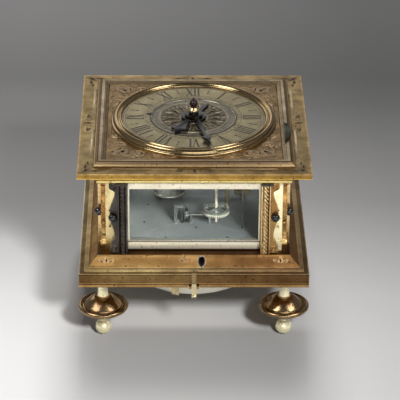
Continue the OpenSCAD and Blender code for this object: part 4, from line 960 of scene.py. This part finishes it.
for (z0, w0), (z1, w1) in zip(WING, WING[1:]):
    was = w0
    for step in range(1, WING_STEPS + 1):
        now = w0 + (w1 - w0) * (1 - math.cos(math.pi * step / WING_STEPS)) / 2
        z = FOOT_Z + z0 + (z1 - z0) * step / WING_STEPS
        rise = (z1 - z0) / WING_STEPS * MM
        bpy.ops.mesh.extrude_region_move(TRANSFORM_OT_translate={"value": (0, 0, rise)})
        bpy.ops.transform.resize(value=(now / was, 1, 1), center_override=(WING_X * MM, -FACE * MM, z * MM))
        was = now
bpy.ops.object.mode_set(mode="OBJECT")
thick = wing.modifiers.new("thick", "SOLIDIFY")
thick.thickness = WING_T * MM
thick.offset = 0.0
bpy.ops.object.modifier_apply(modifier="thick")
wing.location = (0, -WING_T / 2 * MM, 0)
bpy.ops.object.transform_apply()
rounding = wing.modifiers.new("rounding", "BEVEL")
rounding.width = 0.35 * MM
rounding.segments = 3
rounding.angle_limit = math.radians(40)
bpy.ops.object.modifier_apply(modifier="rounding")
print("wing plate", len(wing.data.polygons), "faces")

# %% Volutes and beads of a wing
VOLUTE = [(0.55, 0.0), (0.8, 0.35), (1.15, 0.5), (1.45, 0.25), (1.7, 0.2), (1.95, 0.45), (2.2, 0.4),
          (2.35, 0.0), (2.35, -0.8), (0.55, -0.8), (0.55, 0.0)]
BEAD = [(0.02, 0.72), (0.3, 0.66), (0.52, 0.48), (0.66, 0.2), (0.68, -0.1), (0.68, -0.5), (0.02, -0.5)]
trim = [wing]
for z in (FOOT_Z + 2.9, FOOT_Z + 42.2):
    volute = turned("volute", (0, 0), VOLUTE, 28)
    trim.append(laid_over(volute, TO_FRONT, (WING_X + 2.4, WING_FRONT, z)))
for z in (69.2, 74.2, 79.4):
    bead = turned("bead", (0, 0), BEAD, 14)
    trim.append(laid_over(bead, TO_RIGHT, (WING_X + 4.45, WING_FRONT + WING_T / 2, z)))
wing = joined("wing", trim)
print("wing", len(wing.data.polygons), "faces")

# %% [markdown]
# The column and the wing stand twice at each corner, once on each face. The second one is the
# first mirrored in the corner's diagonal, and the other three corners are mirrored copies. The
# front left pair gets the nearly black finish, a painted shade, because it mirrors only dark.

# %% Columns and wings at the four corners
DIAGONAL = Vector((1, 1, 0)).normalized()
CORNERS = (("fr", None), ("fl", (1, 0, 0)), ("br", (0, 1, 0)), ("bl", "both"))
KINDS = ((column, "columns_", COLUMN_GOLD), (groove_shade, "grooves_", SHADE_GILT), (wing, "wings_", WING_GOLD))
for corner, mirror in CORNERS:
    for base, kind, finish in KINDS:
        for face, across in (("front", None), ("side", DIAGONAL)):
            first = twin(base, "first", mirror=across)
            if mirror == "both":
                placed = twin(first, kind + corner + "_" + face, turn=180)
            else:
                placed = twin(first, kind + corner + "_" + face, mirror=mirror)
            discard(first)
            # The front face of the front left corner gets the painted shade.
            finish_here = SHADE_GILT if corner == "fl" and face == "front" else finish
            hand_over(placed, "case", finish_here, smooth=40.0)
        if base is column:
            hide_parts("pilasters_" + corner)
discard(column, groove_shade, wing)
print("corners done")

# %% [markdown]
# A thin cream bar crosses each window above its lower rail, with a dark line between the two. One
# bar is made for the front, and its copies are turned to the other sides.

# %% Window bars
BAR_END, BAR_Y, BAR_Z = 36.6, (-50.35, -49.3), (58.95, 59.75)
bar = block("bar", (-BAR_END, BAR_Y[0], BAR_Z[0]), (BAR_END, BAR_Y[1], BAR_Z[1]), 0.18)
for quarter, side in enumerate(SIDES):
    hand_over(twin(bar, "window_bar_" + side, turn=90 * quarter), "case", BAR_CREAM)
discard(bar)
print("bars", len(SIDES))

# %% [markdown]
# ## The dial
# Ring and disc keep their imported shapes. The Roman numbers are built the way an engraver cuts
# them, from broad and fine strokes with short serifs. A stroke is a thin bar. Each letter is made
# once from its strokes, and every number is a row of copied letters, turned to its hour with the
# feet inwards.

# %% Roman numbers
INK = new_material("engraver_wax", {"Base Color": (0.035, 0.028, 0.018, 1), "Roughness": 0.5})
DIAL_TOP, LOW_R, HIGH_R = 112.8, 28.6, 38.4
BROAD, FINE, SERIF = 1.15, 0.42, 0.36
NUMERALS = ("XII", "I", "II", "III", "IIII", "V", "VI", "VII", "VIII", "IX", "X", "XI")


def stroke(x0, y0, x1, y1, wide):
    """A thin bar from one point to another on the dial, in millimetres from the middle."""
    deselect()
    along = Vector((x1 - x0, y1 - y0, 0))
    middle = Vector(((x0 + x1) / 2, (y0 + y1) / 2, DIAL_TOP)) * MM
    bpy.ops.mesh.primitive_plane_add(size=1, location=middle)
    bar = bpy.context.object
    bar.scale = (along.length * MM, wide * MM, 1)
    bar.rotation_euler = (0, 0, math.atan2(along.y, along.x))
    bpy.ops.object.transform_apply()
    bpy.ops.object.mode_set(mode="EDIT")
    bpy.ops.mesh.select_all(action="SELECT")
    bpy.ops.mesh.extrude_region_move(TRANSFORM_OT_translate={"value": (0, 0, 0.06 * MM)})
    bpy.ops.object.mode_set(mode="OBJECT")
    return bar


# A letter has its width, and its strokes from one point to another with their breadth.
GLYPHS = {
    "I": (2.1, [((0, LOW_R), (0, HIGH_R), BROAD), ((-0.9, LOW_R), (0.9, LOW_R), SERIF),
                ((-0.9, HIGH_R), (0.9, HIGH_R), SERIF)]),
    "V": (4.2, [((-1.5, HIGH_R), (0.15, LOW_R), BROAD), ((1.5, HIGH_R), (0.15, LOW_R), FINE),
                ((-2.3, HIGH_R), (-0.7, HIGH_R), SERIF), ((0.8, HIGH_R), (2.2, HIGH_R), SERIF)]),
    "X": (4.2, [((-1.5, HIGH_R), (1.5, LOW_R), BROAD), ((1.5, HIGH_R), (-1.5, LOW_R), FINE),
                ((-2.3, HIGH_R), (-0.7, HIGH_R), SERIF), ((0.8, HIGH_R), (2.2, HIGH_R), SERIF),
                ((-2.2, LOW_R), (-0.8, LOW_R), SERIF), ((0.7, LOW_R), (2.3, LOW_R), SERIF)]),
}
print("letters", list(GLYPHS))

# %% The twelve hours
glyph_mesh = {}
for letter, (width, strokes) in GLYPHS.items():
    glyph_mesh[letter] = joined("glyph_" + letter, [stroke(*a, *b, w) for a, b, w in strokes])
numerals = []
for hour, word in enumerate(NUMERALS):
    x = -sum(GLYPHS[letter][0] for letter in word) / 2
    for letter in word:
        width = GLYPHS[letter][0]
        numerals.append(swung(twin(glyph_mesh[letter], "letter", move=(x + width / 2, 0, 0)), -30 * hour))
        x += width
discard(*glyph_mesh.values())
hand_over(joined("numerals", numerals), "case", INK, smooth=20.0)
print("hours", len(NUMERALS))

# %% [markdown]
# Between the hours stand small half-hour marks, each a cross on a broader foot. Thin rings bound
# the hour ring, and short strokes for hours and quarters run inside it. The same strokes that made
# the letters make them, once each, and copies are turned round the dial.

# %% Half-hour marks and rings


def flat_ring(inner, outer, low, high):
    """The profile of a flat ring between two radii and two heights."""
    return [(inner, low), (inner, high), (outer, high), (outer, low), (inner, low)]


marks = []
stem, arms = stroke(0, 34.2, 0, 38.2, 0.3), stroke(-0.75, 36.4, 0.75, 36.4, 0.3)
mark = joined("mark", [stem, arms, stroke(0, 32.6, 0, 34.4, 0.85)])
quarter_tick = stroke(0, 25.9, 0, 27.4, 0.24)
hour_tick = stroke(0, 25.6, 0, 27.5, 0.4)
for hour in range(12):
    marks.append(twin(mark, "half", turn=15 + 30 * hour))
    marks.append(twin(hour_tick, "tick", turn=30 * hour))
    for share in (1, 2, 3):
        marks.append(twin(quarter_tick, "tick", turn=30 * hour + 7.5 * share))
discard(mark, quarter_tick, hour_tick)
for r in (25.5, 27.6, 39.3, 40.3):
    line = flat_ring(r - 0.11, r + 0.11, DIAL_TOP - 0.05, DIAL_TOP + 0.05)
    marks.append(turned("ring_line", (0, 0), line, 120))
hand_over(joined("dial_marks", marks), "case", INK, smooth=20.0)
print("dial marks", len(marks))

# %% [markdown]
# The alarm disc carries a rosette round the hands, inside a turned border: sixteen broad petals,
# and sixteen narrow ones between their tips. A petal is an ellipse whose ends are pinched, and
# whose middle is raised with a sunk vein. The same leaf, at other sizes, makes the foliage of the
# case later on.

# %% A leaf
DISC_TOP = 112.6
DISC_FOOT = DISC_TOP - 0.1


def leaf(name, length, width, rise, z, pinch=0.45):
    """A pointed leaf along +X from the clock's axis, at a height, in millimetres."""
    deselect()
    bpy.ops.mesh.primitive_circle_add(vertices=14, radius=0.5, fill_type="NGON", location=(0, 0, 0))
    piece = bpy.context.object
    piece.name = piece.data.name = name
    piece.scale = (length * MM, width * MM, 1)
    piece.location = (length / 2 * MM, 0, z * MM)
    bpy.ops.object.transform_apply()
    for share in (0.86, 0.14):
        bpy.ops.object.mode_set(mode="EDIT")
        bpy.ops.mesh.select_mode(type="VERT")
        bpy.ops.mesh.select_all(action="DESELECT")
        bpy.ops.object.mode_set(mode="OBJECT")
        limit = share * length * MM
        for corner in piece.data.vertices:
            corner.select = corner.co.x > limit if share > 0.5 else corner.co.x < limit
        bpy.ops.object.mode_set(mode="EDIT")
        bpy.ops.transform.resize(value=(1, pinch, 1), center_override=(limit, 0, z * MM))
    bpy.ops.mesh.select_mode(type="FACE")
    bpy.ops.mesh.select_all(action="SELECT")
    bpy.ops.mesh.extrude_region_move(TRANSFORM_OT_translate={"value": (0, 0, rise * 0.35 * MM)})
    bpy.ops.mesh.inset(thickness=width * 0.2 * MM)
    bpy.ops.transform.translate(value=(0, 0, rise * 0.65 * MM))
    bpy.ops.mesh.inset(thickness=width * 0.13 * MM)
    bpy.ops.transform.translate(value=(0, 0, -rise * 0.6 * MM))
    bpy.ops.object.mode_set(mode="OBJECT")
    return piece


print("leaf ready")

# %% Rosette
ROSETTE = old_metal("rosette_silver", (0.36, 0.32, 0.23), (0.25, 0.22, 0.155), (0.07, 0.055, 0.04),
                    (0.70, 0.64, 0.48), (0.25, 0.42), 200.0)
broad_petal = leaf("petal", 10.4, 3.0, 0.35, DISC_TOP, 0.6)
small_petal = leaf("petal", 6.0, 1.3, 0.3, DISC_TOP, 0.6)
petals = []
for pattern, out, start in ((broad_petal, 8.2, 11.25), (small_petal, 12.4, 0.0)):
    for count in range(16):
        petals.append(swung(twin(pattern, "petal", move=(out, 0, 0)), 22.5 * count + start))
discard(broad_petal, small_petal)
hand_over(joined("rosette", petals), "alarm_set", ROSETTE, smooth=50.0)
print("petals", len(petals))

# %% [markdown]
# The rest of the disc is turned or copied too: low raised borders, a dot for each hour, a lip at
# its edge, and a dark ring, a painted shadow in the gap between disc and hour ring. The lip rises
# as far as the hands allow, and that height is measured on the imported hands. A small leaf is the
# alarm's pointer.

# %% Borders, dots, lip and pointer of the disc
borders = []
for r, wide, high in ((19.4, 0.35, 0.22), (20.1, 0.15, 0.12), (24.0, 0.4, 0.1), (7.9, 0.3, 0.15)):
    crest = DISC_TOP + high
    ring = [(r - wide, DISC_FOOT), (r - wide * 0.6, crest), (r + wide * 0.6, crest),
            (r + wide, DISC_FOOT), (r - wide, DISC_FOOT)]
    borders.append(turned("border", (0, 0), ring, 120))
hand_over(joined("disc_borders", borders), "alarm_set", ROSETTE, smooth=50.0)
DOT = [(0.42, DISC_TOP - 0.05), (0.42, DISC_TOP + 0.06), (0.3, DISC_TOP + 0.1)]
dot = turned("dot", (0, 0), DOT, 12)
dots = [swung(twin(dot, "dot", move=(22.1, 0, 0)), 30 * hour + 12) for hour in range(12)]
discard(dot)
hand_over(joined("alarm_dots", dots), "alarm_set", INK)

hands_low = min(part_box(hand)[0][2] for hand in ("alarm_hand", "hour_hand")) / MM
LIP = max(DISC_TOP + 0.35, min(113.4, hands_low - 0.15))
lip = [(23.5, DISC_FOOT), (23.7, LIP - 0.1), (23.9, LIP), (24.2, LIP), (24.2, DISC_FOOT),
       (23.5, DISC_FOOT)]
hand_over(turned("disc_lip", (0, 0), lip, 120), "alarm_set", ROSETTE, smooth=40.0)
# Painted shadow: a dark ring in the gap between disc and hour ring.
gap_shadow = flat_ring(24.22, 24.7, DISC_FOOT, LIP)
hand_over(turned("disc_gap_shadow", (0, 0), gap_shadow, 120), "alarm_set", STEEL)
pointer = leaf("alarm_pointer", 4.6, 1.7, 0.9, DISC_TOP - 0.2, 0.5)
pointer.data.transform(Matrix.Translation((23.2 * MM, 0, 0)))
swung(pointer, 170.5)
hand_over(pointer, "alarm_set", STEEL, smooth=40.0)
print("lip of the disc at", round(LIP, 2))

# %% [markdown]
# ## Foliage
# Each corner of the field carries an engraved spray: a broad leaf on the diagonal, and on both
# sides of it a stem that curls up into a scroll, with small leaves and berries. A scroll starts as
# a small ring. It is extruded again and again, turned a little about the scroll's middle each
# time, and drawn towards it, so the stem grows thin as it curls. One half spray is mirrored in
# the diagonal, and the whole one is turned to the four corners. Engraving is shallow, so the
# finished spray is pressed to half its height.

# %% Scroll, leaf and berry at a place


def scroll(name, middle, radius, start, sweep, thick, z, steps=20, shrink=0.35):
    """A curling stem about a middle: it starts at a radius and an angle, and sweeps by an angle."""
    deselect()
    half = thick / 2 * MM
    bpy.ops.mesh.primitive_circle_add(vertices=8, radius=half, fill_type="NOTHING", location=(0, 0, 0))
    piece = bpy.context.object
    piece.name = piece.data.name = name
    t = math.radians(start)
    piece.rotation_euler = (math.radians(90), 0, t)
    x, y = middle[0] + radius * math.cos(t), middle[1] + radius * math.sin(t)
    piece.location = (x * MM, y * MM, z * MM)
    bpy.ops.object.transform_apply()
    bpy.ops.object.mode_set(mode="EDIT")
    bpy.ops.mesh.select_mode(type="EDGE")
    bpy.ops.mesh.select_all(action="SELECT")
    centre = (middle[0] * MM, middle[1] * MM, z * MM)
    pull = shrink ** (1 / steps)
    for step in range(steps):
        bpy.ops.mesh.extrude_region_move()
        bpy.ops.transform.rotate(value=math.radians(sweep / steps), orient_axis="Z", center_override=centre)
        bpy.ops.transform.resize(value=(pull, pull, pull), center_override=centre)
    bpy.ops.mesh.select_all(action="SELECT")
    bpy.ops.mesh.fill_holes(sides=0)
    bpy.ops.mesh.normals_make_consistent(inside=False)
    bpy.ops.object.mode_set(mode="OBJECT")
    return piece


def placed_leaf(length, width, rise, x, y, angle, z, pinch=0.45):
    """A leaf with its foot at a place and its tip in a direction."""
    piece = swung(leaf("leaf", length, width, rise, z, pinch), angle)
    piece.data.transform(Matrix.Translation((x * MM, y * MM, 0)))
    return piece


def berry(x, y, r, z):
    """A small round boss."""
    dome = [(r, z - 0.1), (r * 0.95, z + r * 0.35), (r * 0.6, z + r * 0.75), (r * 0.2, z + r * 0.85)]
    return turned("berry", (x, y), dome, 10)


print("foliage tools ready")

# %% A corner's spray, four times
FIELD_TOP = 110.6
# A scroll has its name, middle, radius, start, sweep, thickness, steps and shrinking.
SCROLLS = (("big", (31.0, 42.6), 4.3, -60, 430, 1.5, 20, 0.35),
           ("small", (20.6, 45.6), 2.4, 200, -400, 1.1, 20, 0.35),
           ("stem", (36.5, 37.5), 8.4, 20, 95, 1.0, 12, 0.8))
# A leaf has its length, width, place and direction, and a berry its place and radius.
LEAVES = ((6.5, 2.4, 35.5, 45.5, 150), (5.5, 2.2, 41.0, 40.0, 70), (6.0, 2.2, 26.6, 44.0, 205),
          (5.0, 1.9, 18.4, 46.6, 178), (4.0, 1.7, 27.6, 46.6, 160), (4.6, 1.8, 33.8, 38.2, 100),
          (5.2, 2.0, 40.4, 42.4, 100), (4.2, 1.6, 36.6, 47.6, 190), (4.6, 1.7, 45.6, 44.0, 150),
          (3.4, 1.4, 23.0, 43.4, 120), (3.8, 1.5, 13.6, 47.4, 190))
BERRIES = ((31.0, 42.6, 1.0), (20.6, 45.6, 0.7), (25.0, 47.4, 0.6))
spray_pieces = []
for name, middle, radius, start, sweep, thick, steps, shrink in SCROLLS:
    spray_pieces.append(scroll(name, middle, radius, start, sweep, thick, FIELD_TOP, steps, shrink))
for length, width, x, y, angle in LEAVES:
    spray_pieces.append(placed_leaf(length, width, 0.5, x, y, angle, FIELD_TOP))
for x, y, r in BERRIES:
    spray_pieces.append(berry(x, y, r, FIELD_TOP))
half_spray = flattened(joined("half_spray", spray_pieces), 0.5, FIELD_TOP)
middle_leaf = joined("middle_leaf", [placed_leaf(13.0, 6.0, 0.8, 36.6, 36.6, 45, FIELD_TOP, 0.6),
                                     placed_leaf(6.0, 2.4, 0.6, 39.0, 36.2, 12, FIELD_TOP),
                                     placed_leaf(6.0, 2.4, 0.6, 36.2, 39.0, 78, FIELD_TOP)])
flattened(middle_leaf, 0.5, FIELD_TOP)
ACROSS = Vector((1, -1, 0)).normalized()
sprays = []
for quarter in range(4):
    for pattern, mirror in ((half_spray, None), (half_spray, ACROSS), (middle_leaf, None)):
        sprays.append(swung(twin(pattern, "spray", mirror=mirror), 90 * quarter))
discard(half_spray, middle_leaf)
hand_over(joined("field_foliage", sprays), "case", RELIEF, smooth=60.0)
print("sprays", len(sprays))

# %% [markdown]
# The flat border outside the moulding has bright polished strips, a brown engraved sprig at the
# middle of each side, and five small leaves at each corner. One side is modelled, and its copies
# are turned to the other three.

# %% Border of the top plate
BORDER_TOP = 109.0
STRIP_X, STRIP_Y, STRIP_Z = (9.5, 46.0), (-58.4, -57.3), (BORDER_TOP - 0.2, BORDER_TOP + 0.16)
strips = []
for quarter in range(4):
    for way in (1, -1):
        low, high = sorted((way * STRIP_X[0], way * STRIP_X[1]))
        strip = block("strip", (low, STRIP_Y[0], STRIP_Z[0]), (high, STRIP_Y[1], STRIP_Z[1]), 0.1)
        strips.append(swung(strip, 90 * quarter))
hand_over(joined("border_strips", strips), "case", POLISH)
side_work = []
for way in (1, -1):
    side_work += [scroll("curl", (way * 4.6, -60.3), 1.9, 90, -way * 360, 0.8, BORDER_TOP, 16),
                  placed_leaf(5.0, 1.8, 0.4, way * 6.2, -61.2, 90 - way * 80, BORDER_TOP),
                  placed_leaf(4.0, 1.6, 0.4, way * 6.0, -59.2, 90 - way * 105, BORDER_TOP),
                  placed_leaf(6.5, 2.0, 0.4, way * 58.6, -60.6, 90 + way * 88, BORDER_TOP),
                  placed_leaf(4.0, 1.5, 0.4, way * 53.0, -59.0, 90 + way * 100, BORDER_TOP)]
side_work += [placed_leaf(5.0, 2.2, 0.5, 0, -63.0, 90, BORDER_TOP),
              placed_leaf(6.6, 3.0, 0.5, 57.6, -57.6, -45, BORDER_TOP)]
side_work = flattened(joined("side_work", side_work), 0.4, BORDER_TOP)
borders = [twin(side_work, "border_side", turn=90 * quarter) for quarter in range(4)]
discard(side_work)
hand_over(joined("border_work", borders), "case", ENGRAVED, smooth=60.0)
print("border strips", len(strips), "and sides", len(borders))

# %% [markdown]
# Palmettes sit on the slope of the base near its front corners, and one small scroll stands on
# the left of the keyhole. They are made flat and pressed to half their height, then tipped to the
# slope and carried to their places.

# %% Ornament of the base
SLOPE_ANGLE, SLOPE_Y, SLOPE_Z = 48.0, -56.95, 50.1
palmette = joined("palmette", [placed_leaf(5.4, 2.6, 0.5, 0, -2.6, 90, 0, 0.5),
                               placed_leaf(5.0, 2.0, 0.5, 0.6, -2.2, 40, 0),
                               placed_leaf(5.0, 2.0, 0.5, -0.6, -2.2, 140, 0),
                               placed_leaf(3.6, 1.5, 0.4, 2.6, -2.4, 4, 0),
                               placed_leaf(3.6, 1.5, 0.4, -2.6, -2.4, 176, 0),
                               berry(0, -2.8, 0.7, 0)])
key_scroll = joined("key_scroll", [scroll("curl", (1.2, 0.2), 2.3, 200, -420, 1.0, 0),
                                   placed_leaf(4.4, 2.0, 0.5, -0.8, -0.6, 165, 0),
                                   placed_leaf(3.4, 1.6, 0.4, -0.4, 1.2, 130, 0),
                                   placed_leaf(3.0, 1.4, 0.4, 2.6, -1.6, -20, 0)])
to_slope = Matrix.Translation((0, SLOPE_Y * MM, SLOPE_Z * MM))
to_slope = to_slope @ Matrix.Rotation(math.radians(SLOPE_ANGLE), 4, "X")
base_work = []
for pattern, x in ((palmette, -49.5), (palmette, 49.0), (key_scroll, -3.8)):
    piece = flattened(twin(pattern, "base_leaf", move=(x, 0, 0)), 0.5, 0)
    piece.data.transform(to_slope)
    base_work.append(piece)
discard(palmette, key_scroll)
hand_over(joined("base_foliage", base_work), "case", ROSE, smooth=60.0)
print("ornaments of the base", len(base_work))

# %% [markdown]
# The hands keep their packed outlines. Filed steel has no sharp edge, so theirs are rounded more
# than those of the case, in three steps.

# %% Hands
BLUED = old_metal("blued_hands", (0.040, 0.037, 0.040), (0.055, 0.045, 0.045), (0.015, 0.012, 0.012),
                  (0.10, 0.095, 0.10), (0.18, 0.34))
dress("alarm_hand", "alarm_set", BLUED, 0.3, 3, smooth=50.0)
dress("hour_hand", "hour_hand", BLUED, 0.28, 3, smooth=50.0)
print("hands done")

# %% [markdown]
# The finial is turned in two pieces: a bright collar that holds the hand down, and a dark knob
# with a red tinge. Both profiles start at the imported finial's foot.

# %% Finial
KNOB = old_metal("red_knob", (0.030, 0.012, 0.013), (0.02, 0.010, 0.011), (0.02, 0.01, 0.01),
                 (0.16, 0.07, 0.06), (0.15, 0.3), metallic=0.6)
FINIAL_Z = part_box("hand_finial")[0][2] / MM
COLLAR = [(1.62, 0), (2.7, 0), (3.1, 0.35), (3.2, 0.9), (2.9, 1.5), (2.5, 1.85), (2.3, 2.3),
          (1.9, 2.5), (1.62, 2.5), (1.62, 0)]
KNOB_PROFILE = [(1.64, 2.55), (1.9, 2.8), (1.7, 3.1), (1.9, 3.5), (2.3, 4.2), (2.4, 4.9),
                (2.2, 5.6), (1.7, 6.2), (1.2, 6.7), (0.85, 7.2), (0.6, 7.7), (0.45, 8.1),
                (0.25, 8.3), (0.04, 8.36)]
knob = turned("finial_knob", (0, 0), [(r, z + FINIAL_Z) for r, z in KNOB_PROFILE], 48)
collar = turned("finial_collar", (0, 0), [(r, z + FINIAL_Z) for r, z in COLLAR], 48)
hand_over(knob, "hour_train", KNOB, ["hand_finial"], 60.0)
hand_over(collar, "hour_train", PALE, smooth=50.0)
print("finial from", round(FINIAL_Z, 2))

# %% [markdown]
# The catch on the moulding round the dial is a flat piece of dull steel, so it only gets its edges
# rounded.

# %% Catch
dress("top_catch", "catch", CATCH, 0.25)
print("catch done")

# %% [markdown]
# ## The movement
# The movement is seen through old glass, so its wheels keep their packed teeth and only get
# brass. The barrel is turned anew with two bands, because its bright side is what the front
# window shows first. Its arbor ends in thin pivots above and below.

# %% Barrel
BARREL_AT = (-14, 9)
BARREL = [(0.1, 60.0), (9.4, 60.0), (9.9, 60.15), (10.0, 60.5), (10.0, 61.2), (9.8, 61.5),
          (9.6, 61.7), (9.6, 66.0), (9.75, 66.2), (9.75, 66.6), (9.6, 66.8), (9.6, 79.5),
          (9.75, 79.7), (9.75, 80.1), (9.6, 80.3), (9.6, 82.3), (9.8, 82.5), (10.0, 82.8),
          (10.0, 83.6), (9.8, 83.95), (9.4, 84.0), (6.6, 84.0), (6.4, 83.7), (6.2, 83.7),
          (6.0, 84.0), (0.1, 84.0)]
LOWER_ARBOR = [(0.75, 55.3), (0.75, 57.3), (1.5, 57.32), (1.5, 60.05)]
UPPER_ARBOR = [(1.5, 83.9), (1.5, 94.7), (0.75, 94.72), (0.75, 96.7)]
BRIGHT = old_metal("bright_brass", (0.86, 0.83, 0.74), (0.76, 0.72, 0.60), (0.3, 0.26, 0.2),
                   (0.97, 0.95, 0.88), (0.12, 0.22), 50.0)
barrel = [turned("barrel_drum", BARREL_AT, BARREL, 96)]
for profile in (LOWER_ARBOR, UPPER_ARBOR):
    barrel.append(turned("arbor", BARREL_AT, profile, 24))
hand_over(joined("barrel_piece", barrel), "barrel", BRIGHT, ["barrel"])
print("barrel done")

# %% [markdown]
# The lower plate is the pale floor of the windows. Five small screws stand on it, where the
# photograph has its dark specks.

# %% Lower plate and its screws
PLATE_TOP = 57.0
SCREW = [(0.04, PLATE_TOP + 0.45), (0.4, PLATE_TOP + 0.4), (0.7, PLATE_TOP + 0.2),
         (0.75, PLATE_TOP - 0.3), (0.04, PLATE_TOP - 0.3)]
SCREWS_AT = ((-26.3, -1.8), (-28.4, -23.3), (19.0, -41.4), (-16.0, -41.4), (1.4, -30.0))
dress("lower_plate", "case", PLATE, 0.15)
screw = turned("screw", (0, 0), SCREW, 20)
screws = [twin(screw, "screw", move=(x, y, 0)) for x, y in SCREWS_AT]
discard(screw)
hand_over(joined("plate_screws", screws), "case", STEEL)
print("screws", len(screws))

# %% [markdown]
# Glass is a shader and not a colour: it transmits, it bends light only a little, and it has a
# trace of green. Cycles takes glass for a solid wall when it looks for the lamps, and the movement
# behind it would stay dark. So for shadow rays alone, which Light Path names, the glass is swapped
# for a transparent shader, and the light of the lamps reaches the wheels.

# %% Glass
GLASS = new_material("old_glass", {"Base Color": (0.93, 0.96, 0.95, 1), "Roughness": 0.02, "Metallic": 0.0,
                                   "Transmission Weight": 1.0, "IOR": 1.2})
tree = GLASS.node_tree
clear = add(tree, "BsdfTransparent")
ray = add(tree, "LightPath")
either = add(tree, "MixShader")
tree.links.new(ray.outputs["Is Shadow Ray"], either.inputs[0])
tree.links.new(shader_of(GLASS).outputs[0], either.inputs[1])
tree.links.new(clear.outputs[0], either.inputs[2])
tree.links.new(either.outputs[0], tree.nodes["Material Output"].inputs["Surface"])
print("glass", GLASS.name)

# %% [markdown]
# What keeps its imported mesh is only painted. The contrate wheel has a paler brass with a dark
# bluish band, a painted dim reflection, and the gut line is a plain, matt yellow brown.

# %% Finishes of the imported pieces
CROWN = old_metal("crown_brass", (0.76, 0.72, 0.56), (0.68, 0.63, 0.47), (0.4, 0.35, 0.26),
                  (0.85, 0.82, 0.68), (0.2, 0.32), 50.0, metallic=0.45)
# Painted reflection: a dim bluish band on the contrate wheel.
tint(CROWN, (0.26, 0.29, 0.33), "Z", 64.9, 66.6, 0.1)
GUT = new_material("gut_cord", {"Base Color": (0.50, 0.36, 0.17, 1), "Roughness": 0.5})
FINISH_OF_NODE = {"top_plate": TOP_GILT, "chapter_ring": SILVER, "alarm_disc": DISC,
                  "upper_plate": PLATE, "plate_pillars": DULL, "fusee": BRASS, "great_wheel": BRASS,
                  "second_wheel": BRASS, "contrate_wheel": CROWN, "escape_wheel": DULL,
                  "balance": DULL, "balance_cock": DULL, "hour_wheel": BRASS, "hammer": STEEL,
                  "gut_line": GUT}
for side in SIDES:
    FINISH_OF_NODE["glass_" + side] = GLASS
for node, material in FINISH_OF_NODE.items():
    for holder in nodes[node].material_slots:
        holder.material = material
print("painted", len(FINISH_OF_NODE))

# %% Finish
new_low, new_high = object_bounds()
for name, box in (("cad", (*cad_low, *cad_high)), ("visual", (*new_low, *new_high))):
    print(name, [round(v * 1000, 1) for v in box])
